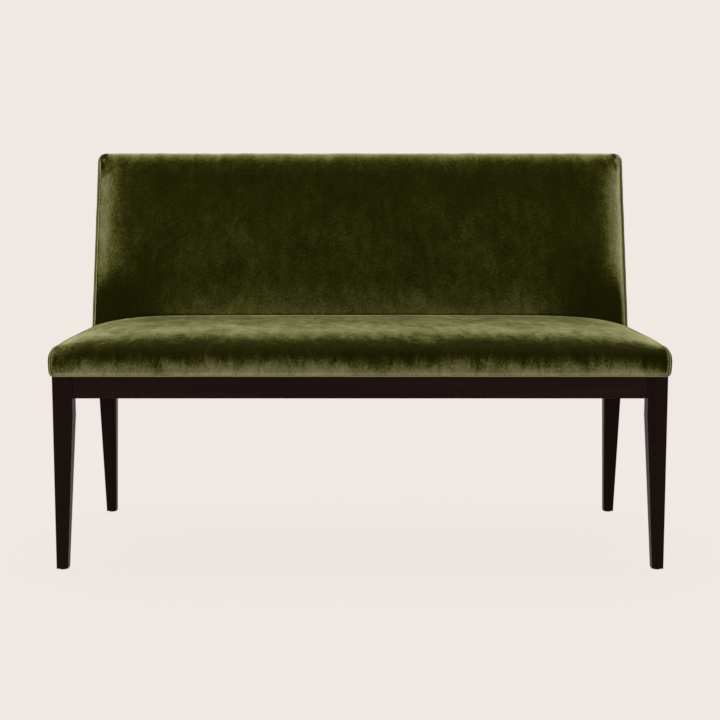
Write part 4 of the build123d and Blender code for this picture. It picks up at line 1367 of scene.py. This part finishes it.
# %% [markdown]
# The fillings and fastenings are plain things, and each has one mark that tells what it is: pores
# in the foam, matted fibres in the wadding, a basket weave in the webbing, pressed fibre in the
# board, pinpricks in the thin dust cloth, a dull bloom on the zinc. They could be flat colours, but
# a section through the settee should still read. `plain` takes the two tones of a finish and the
# texture that moves between them.

# %% Fillings and fastenings
def plain(name, texture, dark, light, roughness, depth, metal=0.0):
    """A finish with two tones and a relief that follow one texture."""
    recipe = Recipe(name)
    mark = texture(recipe)
    return recipe.finish(
        Base_Color=recipe.blend(recipe.ramp(mark, (0.3, 0.0), (0.7, 1.0)), dark, light),
        Roughness=roughness,
        Metallic=metal,
        Specular_IOR_Level=0.3,
        Normal=recipe.bump(mark, 0.8, depth),
    )


def pores(recipe):
    return recipe.node("ShaderNodeTexVoronoi", {}, {"Vector": recipe.place(), "Scale": 900.0})


def fibres(recipe):
    return recipe.noise(recipe.place((1, 0.3, 1)), 260.0, 5.0, 0.7, 2.5)


def weave(recipe):
    black, white = (0, 0, 0, 1), (1, 1, 1, 1)
    threads = {"Vector": recipe.place(), "Scale": 420.0, "Color1": white, "Color2": black}
    checks = recipe.node("ShaderNodeTexChecker", {}, threads, output="Fac")
    return checks * 0.7 + recipe.noise(recipe.place(), 700.0) * 0.3


def specks(recipe):
    return recipe.noise(recipe.place(), 340.0, 4.0, 0.7)


foam_finish = plain("foam", pores, rgb(196, 182, 140), rgb(232, 220, 182), 0.95, 0.0006)
wadding_finish = plain("wadding", fibres, rgb(214, 214, 208), rgb(240, 240, 236), 0.95, 0.0012)
webbing_finish = plain("webbing", weave, rgb(84, 64, 44), rgb(140, 114, 84), 0.85, 0.0005)
board_finish = plain("board", specks, rgb(104, 76, 50), rgb(140, 108, 76), 0.7, 0.0002)
dust_finish = plain("dust_cloth", pores, rgb(16, 16, 17), rgb(34, 34, 36), 0.9, 0.0003)
steel_finish = plain("zinc", specks, rgb(150, 150, 148), rgb(188, 188, 186), 0.38, 0.0001, 1.0)
nylon_finish = plain("nylon", specks, rgb(44, 40, 37), rgb(58, 53, 49), 0.45, 0.0001)
thread_finish = plain("thread", fibres, rgb(100, 97, 52), rgb(146, 141, 90), 0.7, 0.0003)
print("plain finishes ready")

# %% [markdown]
# Legs, rails, planks, webbing, board and screws keep the meshes of the solid model. The grain has
# to run along each board, so a wood comes once for every direction in which its boards lie. Each
# board's longest side could be measured to pick one, but a list says plainly which board takes
# which and is easily checked against a real frame.

# %% Finishes of the parts that stay
KEPT_PARTS = (
    (stained["Z"], "front_leg_left front_leg_right"),
    (shaded_stained, "rear_leg_left rear_leg_right"),
    (stained["X"], "front_rail rear_rail"),
    (stained["Y"], "side_rail_left side_rail_right"),
    (bare["X"], "seat_frame_front seat_frame_rear back_top_rail back_bottom_rail corner_blocks"),
    (bare["X"], "frame_dowels seat_frame_dowels"),
    (bare["Y"], "centre_rail seat_frame_side_left seat_frame_side_right seat_frame_centre"),
    (bare["Z"], "back_centre_stile"),
    (webbing_finish, "seat_webbing back_webbing"),
    (board_finish, "back_board"),
    (steel_finish, "corner_block_screws seat_screws"),
)
for finish, names in KEPT_PARTS:
    for name in names.split():
        nodes[name].data.materials.clear()
        nodes[name].data.materials.append(finish)
print("parts that keep their mesh:", sum(len(names.split()) for _, names in KEPT_PARTS))

# %% [markdown]
# Under the velvet lies a layer of wadding, and under that the foam. Scaled copies of the cover
# would poke through it somewhere. So they follow the velvet's own form at their depth, and the
# cover sits on them all over. Each is lofted from closed outlines and capped at both ends. The
# wadding's outline goes out along its upper face and comes back along its lower one, which makes it
# a blanket and not a block.

# %% Lofted fillings
WADDING_TOP = 2.0 * MM  # depths under the velvet's face
WADDING_FOOT = 7.2 * MM
FOAM_TOP = 8.8 * MM
WADDING_SHORT = 5 * MM  # how far the fillings stop short of the side seams
FOAM_SHORT = 7 * MM
FILLING_STEP = 9.0 * MM
ROW_SHARE = 0.6  # rows lie closer together than columns


def capped(name, rings):
    """A solid from closed rings: walls between them, and a cap at each end."""
    closed = np.concatenate([rings, rings[:, :1]], axis=1)
    mesh = grid_mesh(name, closed)
    with opened(mesh) as work:
        bmesh.ops.remove_doubles(work, verts=work.verts, dist=0.01 * MM)
        bmesh.ops.dissolve_degenerate(work, edges=work.edges, dist=0.01 * MM)
        rims = [edge for edge in work.edges if len(edge.link_faces) == 1]
        caps = bmesh.ops.holes_fill(work, edges=rims, sides=0)["faces"]
        bmesh.ops.triangulate(work, faces=caps)
        bmesh.ops.recalc_face_normals(work, faces=work.faces)
    return mesh


def filling(name, rings, material, node):
    """Makes a lofted filling that stands for a node of the frame."""
    piece = finish_piece(name, capped(name, rings), material)
    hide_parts(node)
    return piece


def layer(form, soft, away, short, rows, depth):
    """The form at some depth under the velvet, on a coarse grid that stops short of the seams."""
    kept = np.flatnonzero(away[:, 0] > short)
    kept = kept[thinned(form[kept, form.shape[1] // 2], FILLING_STEP)]
    rows = rows[thinned(form[form.shape[0] // 2, rows], FILLING_STEP * ROW_SHARE)]
    return lift(form, soft - depth)[np.ix_(kept, rows)]


print("the wadding is", round((WADDING_FOOT - WADDING_TOP) / MM, 1), "mm thick")

# %% [markdown]
# The seat's foam is a slab on the webbing, and the wadding lies over its top and down its front. A
# box with rounded edges could stand for the slab, but the cover would then float over it in places.
# Cut from the cover's own grid, both fit by themselves; the foam only gets a flat underside just
# above the straps.

# %% Seat fillings
FOAM_LIFT = 1.5 * MM

seat_rows = np.arange(hem_row, seat_form.shape[1])
over_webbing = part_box("seat_webbing")[1].z + FOAM_LIFT
seat_middle = seat_form[seat_form.shape[0] // 2, :, 2]
foam_rows = np.flatnonzero(seat_middle > over_webbing + FOAM_TOP)
seat_layer = (seat_form, seat_soft, seat_away)
upper = layer(*seat_layer, WADDING_SHORT, seat_rows, WADDING_TOP)
lower = layer(*seat_layer, WADDING_SHORT, seat_rows, WADDING_FOOT)
filling(
    "seat_wadding_blanket",
    np.concatenate([upper, lower[:, ::-1]], axis=1),
    wadding_finish, "seat_wadding",
)
foam_top = layer(*seat_layer, FOAM_SHORT, foam_rows, FOAM_TOP)
foam_foot = foam_top[:, [-1, 0]].copy()
foam_foot[:, :, 2] = over_webbing
filling(
    "seat_foam_block",
    np.concatenate([foam_top, foam_foot], axis=1),
    foam_finish, "seat_foam",
)

# %% [markdown]
# The back's foam leans on its frame and straps, with the wadding towards the sitter and over the
# top edge. They are made like the seat's. The foam's rear face could be left open, since nothing
# shows it, but a filling is a solid thing: it is closed by a plane of the lean, just ahead of the
# frame's rails.

# %% Back fillings
FRAME_BEHIND = 27.4 * MM  # the foam ends just ahead of the back's rails
ROWS_SHORT = 8  # the wadding stops this many rows before the top's rear seam
FOAM_FRONT_DOWN = 14 * MM
FOAM_REAR_DOWN = 12 * MM
FOAM_OVER_PLANK = 3 * MM

back_rows = np.arange(0, back_form.shape[1] - ROWS_SHORT)
back_layer = (back_form, back_soft, back_away)
upper = layer(*back_layer, WADDING_SHORT, back_rows, WADDING_TOP)
lower = layer(*back_layer, WADDING_SHORT, back_rows, WADDING_FOOT)
filling(
    "back_wadding_blanket",
    rounded(np.concatenate([upper, lower[:, ::-1]], axis=1)),
    wadding_finish, "back_wadding",
)
back_middle = back_form[back_form.shape[0] // 2, :, 2]
foam_rows = np.flatnonzero(back_middle < BACK_TOP - FOAM_FRONT_DOWN)
foam_front = layer(*back_layer, FOAM_SHORT, foam_rows, FOAM_TOP)
foam_rear = foam_front[:, [-1, 0]].copy()
foam_low = up_to(plank_hi.z + FOAM_OVER_PLANK, FRAME_BEHIND)
for end, up in ((0, BACK_LENGTH - FOAM_REAR_DOWN), (1, foam_low)):
    foam_rear[:, end, 1:] = on_back(up, FRAME_BEHIND)
filling(
    "back_foam_block",
    np.concatenate([foam_front, foam_rear], axis=1),
    foam_finish, "back_foam",
)

# %% [markdown]
# Behind each boxing panel sits a pad of wadding that pushes it out. A block could be fitted there
# by trial. The boxing's own rings, a little smaller and closed by a flat face against the frame,
# fit at once.

# %% Side pads
PAD_INSET = 4.0 * MM
PAD_FOOT = 3.0 * MM
PAD_STATIONS = 36


def pad_rings(boxing, seed, shape):
    """The rings of a pad under a boxing panel, with a first ring for its flat foot."""
    rings = boxing_grid(*boxing, PAD_STATIONS, seed, inset=PAD_INSET)
    foot = rings[:1].copy()
    foot[:, :, 0] -= PAD_FOOT
    return shape(np.concatenate([foot, rings]))


for part, boxing, seed, shape in (
    ("seat", seat_boxing, SEAT_SEED, tucked),
    ("back", back_boxing, BACK_SEED, rounded),
):
    rings = pad_rings(boxing, seed, shape)
    for word, side in (("left", -1), ("right", 1)):
        name = f"{part}_end_pad_{word}"
        filling(
            name, rings * (side, 1, 1), wadding_finish, f"{part}_side_pad_{word}"
        )

# %% [markdown]
# Now the velvet itself. The grids could be given a second, inner face by hand, but a thickness
# modifier does it and leaves the grid simple. The thickness goes inwards, so the drawn face stays
# the outer one, and each panel stands for the plain shell that the frame has in its place.

# %% Velvet pieces
VELVET_THICK = 1.1 * MM


def thicken(piece, thickness):
    """Gives a sheet its thickness, inwards from the drawn face."""
    thick = piece.modifiers.new("thickness", "SOLIDIFY")
    thick.thickness = thickness
    thick.offset = -1


def upholster(name, mesh, material, node):
    """A velvet panel with its thickness."""
    piece = finish_piece(name, mesh, material)
    thicken(piece, VELVET_THICK)
    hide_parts(node)
    return piece


seat_mesh = grid_mesh("seat_velvet", seat_grid, seat_flat)
upholster("seat_velvet", seat_mesh, velvet_seat, "seat_cover")
back_mesh = grid_mesh("back_velvet", back_grid, back_flat)
upholster("back_velvet", back_mesh, velvet_back, "back_front_cover")
for word, side in (("left", -1), ("right", 1)):
    for part, rings in (("seat", seat_rings), ("back", back_rings)):
        name = f"{part}_boxing_{word}"
        mesh = boxing_mesh(name, rings, side)
        upholster(name, mesh, velvet_ends[side], f"{part}_side_panel_{word}")
outside_mesh = grid_mesh("outside_back_velvet", outside_grid, outside_flat)
outside = upholster("outside_back_velvet", outside_mesh, velvet_rear, "back_outer_cover")

# %% [markdown]
# Threads and staples are wires: a round section carried along a path. A curve with a bevel would
# draw them too, but it has to be converted before it is a mesh, and its ends stay open. Rings of
# points, joined and closed at both ends, are a few lines of code and serve the glides as well.

# %% Wires
WIRE_SIDES = 8
ASKEW = (0.3, 0.1, 0.2)  # keeps the section's first direction off the wire's own


def wire_rings(path, radii):
    """Rings of a thread or wire along a path."""
    path = np.array(path, float)
    way = np.gradient(path, axis=0)
    way /= np.linalg.norm(way, axis=1, keepdims=True)
    aside = np.cross(way, np.roll(way[len(way) // 2], 1) + ASKEW)
    aside /= np.linalg.norm(aside, axis=1, keepdims=True)
    over = np.cross(way, aside)
    turn = np.linspace(0, 2 * pi, WIRE_SIDES, endpoint=False)
    across, up = (wave(turn)[None, :, None] for wave in (np.cos, np.sin))
    section = across * aside[:, None] + up * over[:, None]
    return path[:, None] + section * np.array(radii)[:, None, None]


def wires_mesh(name, many):
    """One mesh of many closed wires."""
    points, faces = [], []
    for rings in many:
        count, sides = rings.shape[:2]
        start = len(points)
        points.extend(rings.reshape(-1, 3).tolist())
        for i in range(count - 1):
            for k in range(sides):
                after = (k + 1) % sides
                row = start + i * sides
                faces.append((row + k, row + after, row + sides + after, row + sides + k))
        faces.append(tuple(start + k for k in range(sides))[::-1])
        faces.append(tuple(start + (count - 1) * sides + k for k in range(sides)))
    mesh = bpy.data.meshes.new(name)
    mesh.from_pydata(points, [], faces)
    with opened(mesh) as work:
        bmesh.ops.recalc_face_normals(work, faces=work.faces)
    return mesh


print("a ring of wire has", WIRE_SIDES, "points")

# %% [markdown]
# The topstitching is thread. A dashed line in the velvet's colour would vanish at the outline, so
# every stitch is a short length that comes out of the cloth, lies on the ridge and goes back in.
# The stitches follow the finished grid, and so they sit in its puckers, at the same pitch.

# %% Topstitches
THREAD_RADIUS = 0.5 * MM
STITCH_SHARE = 0.66  # of the pitch
STITCH_POINTS = 9
STITCH_LIFT = 0.55  # of the thread's radius, over the cloth
STITCH_DIVE = 2.6  # of the radius, down at both ends
DIVE_FROM = 0.6  # of the stitch's half length
SEAT_STITCHES_FROM = 24 * MM
BACK_STITCHES_FROM = 100 * MM
BACK_STITCHES_SHORT = 6 * MM


def stitches(grid, flat, seam, side, first, last):
    """A row of stitches along a seam, between two distances along the cloth."""
    column = int(np.argmin(np.abs(flat[:, 0, 0] - side * (seam - STITCH_IN))))
    line, way, out = grid[column], flat[column, :, 1], facing(grid)[column]
    rows = []
    for count in range(int(first / STITCH_PITCH) + 1, int(last / STITCH_PITCH)):
        share = np.linspace(-1, 1, STITCH_POINTS)
        at = (count + share * STITCH_SHARE / 2) * STITCH_PITCH
        dive = STITCH_DIVE * np.maximum(np.abs(share) - DIVE_FROM, 0) / (1 - DIVE_FROM)
        height = THREAD_RADIUS * (STITCH_LIFT - dive)
        spot = np.array([np.interp(at, way, axis) for axis in line.T]).T
        lifted = np.array([np.interp(at, way, axis) for axis in out.T]).T
        radii = THREAD_RADIUS * np.sqrt(np.clip(1.05 - share**4, 0.1, 1))
        rows.append(wire_rings(spot + lifted * height[:, None], radii))
    return rows


last_back_stitch = back_way[-1] - BACK_STITCHES_SHORT
for part, grid, flat, seam, first, last in (
    ("seat", seat_grid, seat_flat, SEAT_SEAM, SEAT_STITCHES_FROM, seat_along[0, seat_end_row]),
    ("back", back_grid, back_flat, BACK_SEAM, BACK_STITCHES_FROM, last_back_stitch),
):
    for word, side in (("left", -1), ("right", 1)):
        name = f"{part}_topstitch_{word}"
        rows = stitches(grid, flat, seam, side, first, last)
        finish_piece(name, wires_mesh(name, rows), thread_finish)

# %% [markdown]
# The dust cover is a thin black cloth, stapled under the rails and notched round the legs. A
# simulation could let it hang, but it barely moves: a few millimetres in each open bay and less
# between its staples. A grid with that sag drawn in is enough, with lines exactly where the notches
# are cut.

# %% Dust cover
DUST_SAG = 5.0 * MM
DUST_EDGE_SAG = 0.5 * MM
DUST_THICK = 0.3 * MM
DUST_STEP = 14 * MM
DUST_RUCK_LENGTH = 60 * MM
DUST_RUCK_REACH = 12 * MM
BAY_FULL = 0.7  # under 1, a bay sags more evenly
LEG_GAP = 1.5 * MM

dust_lo, dust_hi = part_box("dust_cover")
rear_leg_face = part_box("rear_leg_right")[0].y
leg_in = leg_lo.x - LEG_GAP
front_notch = leg_hi.y + LEG_GAP
rear_notch = rear_leg_face - LEG_GAP


def strung(low, high, *stops):
    """Places between two ends, with lines exactly at the stops."""
    marks = [low, *stops, high]
    parts = []
    for start, end in zip(marks, marks[1:]):
        count = max(2, int((end - start) / DUST_STEP) + 1)
        parts.append(np.linspace(start, end, count)[:-1])
    return np.concatenate([*parts, [high]])


dust_x = strung(dust_lo.x, dust_hi.x, -leg_in, 0.0, leg_in)
dust_y = strung(dust_lo.y, dust_hi.y, front_notch, rail_hi.y, rear_notch)
dx, dy = np.meshgrid(dust_x, dust_y, indexing="ij")
bay_x = np.clip(np.sin(pi * np.abs(dx) / leg_in), 0, 1)
bay_y = np.clip(np.sin(pi * (dy - rail_hi.y) / (rear_leg_face - rail_hi.y)), 0, 1)
rim_x = np.minimum(dx - dust_lo.x, dust_hi.x - dx)
rim_y = np.minimum(dy - dust_lo.y, dust_hi.y - dy)
ruck = DUST_EDGE_SAG * (0.5 + 0.5 * waves(dx, dy, DUST_RUCK_LENGTH, seed=61))
ruck = ruck * hill(np.minimum(rim_x, rim_y), 0, DUST_RUCK_REACH)
dust_z = dust_hi.z - REST - DUST_SAG * (bay_x * bay_y) ** BAY_FULL - ruck
dust_grid = np.stack([dx, dy, dust_z], axis=2)[:, ::-1]
dust_mesh = grid_mesh("dust_cover_cloth", dust_grid, dust_grid[:, :, :2])
with opened(dust_mesh) as work:
    notched = []
    for face in work.faces:
        middle = face.calc_center_median()
        if abs(middle.x) > leg_in and not front_notch < middle.y < rear_notch:
            notched.append(face)
    bmesh.ops.delete(work, geom=notched, context="FACES")
dust = finish_piece("dust_cover_cloth", dust_mesh, dust_finish)
thicken(dust, DUST_THICK)
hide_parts("dust_cover")

# %% [markdown]
# The dust cover is held by bent wire staples, which the solid model shows as plain bars. Each could
# be placed by its measures, but the bars are already where they belong: their corners are sorted
# into groups, and a wire with two legs and rounded bends takes the place of each group.

# %% Staples
STAPLE_WIRE = 0.45 * MM
STAPLE_LEG = 1.6 * MM
STAPLE_BEND = 0.8 * MM
BEND_MIDDLE = 0.3  # of the bend, its middle's distance from both sides
STAPLE_APART = 20 * MM


def bits(node, apart):
    """Lowest and highest corners of a node's separate bits."""
    points = np.array([vertex.co for vertex in nodes[node].data.vertices])
    seeds, members = [], []
    for point in points:
        near = [k for k, seed in enumerate(seeds) if np.linalg.norm((seed - point)[:2]) < apart]
        if near:
            members[near[0]].append(point)
        else:
            seeds.append(point)
            members.append([point])
    return [(np.min(group, axis=0), np.max(group, axis=0)) for group in members]


staple_paths = []
for low, high in bits("dust_cover_staples", STAPLE_APART):
    y, z = (low[1] + high[1]) / 2, high[2] - STAPLE_WIRE
    path = []
    for x, turn in ((low[0] + STAPLE_WIRE, 1), (high[0] - STAPLE_WIRE, -1)):
        half = [
            (x, y, z + STAPLE_LEG),
            (x, y, z + STAPLE_BEND),
            (x + turn * STAPLE_BEND * BEND_MIDDLE, y, z + STAPLE_BEND * BEND_MIDDLE),
            (x + turn * STAPLE_BEND, y, z),
        ]
        path.extend(half[::turn])
    staple_paths.append(path)
staple_mesh = wires_mesh(
    "bent_staples", [wire_rings(path, [STAPLE_WIRE] * len(path)) for path in staple_paths]
)
staples = finish_piece("bent_staples", staple_mesh, steel_finish)
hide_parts("dust_cover_staples")
print("staples:", len(staple_paths))

# %% [markdown]
# The glides are turned nylon discs on a nail. A plain cylinder would do under a leg, but a turned
# one has a broken edge and a dished middle that hides the nail's head. So a profile is spun round
# an axis, once for each leg.

# %% Glides
GLIDE_RADIUS = 9.0
GLIDE_PROFILE = (  # mm from the axis, mm up
    (0.0, 0.9), (2.0, 0.9), (2.6, 0.6), (3.2, 0.1), (3.8, 0.0), (7.6, 0.0),
    (8.5, 0.3), (GLIDE_RADIUS, 1.0), (GLIDE_RADIUS, 2.4), (1.4, 2.4), (1.4, 20.0), (0.0, 20.4),
)
GLIDE_SIDES = 48
GLIDES_APART = 30 * MM

turn = np.linspace(0, 2 * pi, GLIDE_SIDES, endpoint=False)
glide_rings = []
for low, high in bits("leg_glides", GLIDES_APART):
    middle = (low + high) / 2
    rings = []
    for radius, height in GLIDE_PROFILE:
        x = middle[0] + radius * MM * np.cos(turn)
        y = middle[1] + radius * MM * np.sin(turn)
        rings.append(np.stack([x, y, np.full(GLIDE_SIDES, height * MM)], axis=1))
    glide_rings.append(np.array(rings))
glide_mesh = wires_mesh("turned_glides", glide_rings)
with opened(glide_mesh) as work:
    bmesh.ops.remove_doubles(work, verts=work.verts, dist=0.001 * MM)
    bmesh.ops.dissolve_degenerate(work, edges=work.edges, dist=0.001 * MM)
glides = finish_piece("turned_glides", glide_mesh, nylon_finish)
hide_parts("leg_glides")
print("glides:", len(glide_rings))

# %% [markdown]
# The settee stands on a pale floor in a pale room. More light would whiten them, but would bleach
# the velvet as well. So what the camera, mirrors and glass see of the floor is mostly its own
# colour as a glow, with a little real light and shadow near the settee, and the settee itself is
# lit at a plain level. From below, the floor is clear.

# %% Floor
BACKDROP = rgb(240, 233, 227)
FLOOR_SHADE = 0.05  # how much of the floor's own light and shadow shows near the settee
FLOOR_REACH = 4.0
FLOOR_HALF = 40.0


def background_rays(recipe):
    """1 for rays that should meet the backdrop's own colour: seen, mirrored or through glass."""
    seen, mirrored, through = (
        recipe.node("ShaderNodeLightPath", output=ray)
        for ray in ("Is Camera Ray", "Is Glossy Ray", "Is Transmission Ray")
    )
    return seen.math("MAXIMUM", seen, mirrored.math("MAXIMUM", mirrored, through))


def pale_floor():
    """Pale near the settee with its shadow, and exactly the backdrop's colour further off."""
    recipe = Recipe("pale_floor")
    far = recipe.along("LENGTH", recipe.place(), output="Value")
    share = recipe.ramp(far / FLOOR_REACH, (0.3, 1 - FLOOR_SHADE), (0.75, 1.0))
    share = background_rays(recipe) * share
    plain_floor = recipe.node("ShaderNodeBsdfDiffuse", {}, {"Color": BACKDROP})
    glow = recipe.node("ShaderNodeEmission", {}, {"Color": BACKDROP, "Strength": 1.0})
    mixed = recipe.node("ShaderNodeMixShader", {}, {0: share, 1: plain_floor, 2: glow})
    clear = recipe.node("ShaderNodeBsdfTransparent")
    under = recipe.node("ShaderNodeNewGeometry", output="Backfacing")
    sheet = recipe.node("ShaderNodeMixShader", {}, {0: under, 1: mixed, 2: clear})
    recipe.node("ShaderNodeOutputMaterial", {}, {"Surface": sheet}, output=None)
    return recipe.made


floor_mesh = bpy.data.meshes.new("floor")
floor_ends = ((-1, -1), (1, -1), (1, 1), (-1, 1))
corners = [(x * FLOOR_HALF, y * FLOOR_HALF, 0) for x, y in floor_ends]
floor_mesh.from_pydata(corners, [], [(0, 1, 2, 3)])
floor_mesh.materials.append(pale_floor())
floor = bpy.data.objects.new("floor", floor_mesh)
bpy.context.scene.collection.objects.link(floor)
floor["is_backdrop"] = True
print("the floor is", 2 * FLOOR_HALF, "metres wide")

# %% [markdown]
# Round the floor is a room of even light. A picture of a studio would bring its own colours and
# reflections. A plain white sky at a low level fills the shadows instead, and where a ray ends at
# the camera, in a mirror or behind glass, the backdrop's own colour takes its place.

# %% World
SKY_LEVEL = 0.31
WHITE = (1, 1, 1, 1)

studio = Recipe("studio", bpy.data.worlds)
sky = studio.node("ShaderNodeBackground", {}, {"Color": WHITE, "Strength": SKY_LEVEL})
wall = studio.node("ShaderNodeBackground", {}, {"Color": BACKDROP})
around = {0: background_rays(studio), 1: sky, 2: wall}
chosen = studio.node("ShaderNodeMixShader", {}, around)
studio.node("ShaderNodeOutputWorld", {}, {"Surface": chosen}, output=None)
bpy.context.scene.world = studio.made
print("the sky's level is", SKY_LEVEL)

# %% [markdown]
# Four soft lamps shape the settee. Small, hard ones would draw shadows that cloth doesn't have. A
# broad one overhead and a little behind wakes the pile on the seat and along the top edge, two tall
# ones at the sides model the ends, and one behind shows the outside back. The picture keeps the
# plain Standard view, so a colour shows as it was mixed.

# %% Lamps
LAMPS = (  # name, place, aim, width and height, watts
    ("top_lamp", (0, 0.6, 2.6), (0, 0, 0.5), (3.0, 1.6), 52),
    ("left_lamp", (-3.0, -0.6, 1.2), (0, 0, 0.6), (1.2, 2.0), 60),
    ("right_lamp", (3.0, -0.6, 1.2), (0, 0, 0.6), (1.2, 2.0), 44),
    ("rear_lamp", (0.8, 3.4, 1.6), (0, 0, 0.6), (2.0, 2.0), 30),
)


def lamp(name, place, aim, size, power):
    """A rectangular soft lamp, turned to its aim."""
    data = bpy.data.lights.new(name, "AREA")
    data.shape = "RECTANGLE"
    data.size, data.size_y = size
    data.energy = power
    made = bpy.data.objects.new(name, data)
    made.location = place
    made.rotation_euler = (Vector(aim) - Vector(place)).to_track_quat("-Z", "Y").to_euler()
    bpy.context.scene.collection.objects.link(made)


for row in LAMPS:
    lamp(*row)
bpy.context.scene.view_settings.view_transform = "Standard"
print("lamps:", [name for name, *_ in LAMPS])

# %% [markdown] Last come the measurements. The overall box of the dressed settee could be read off
# in the viewport. Printed beside the box of the solid model, the two can be compared: cloth may
# stand a few millimetres proud, wood may not.

# %% Sizes and finish
box_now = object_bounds()
for word, box in (("cad", cad_box), ("visual", box_now)):
    print(word, [[round(value, 4) for value in corner_point] for corner_point in box])
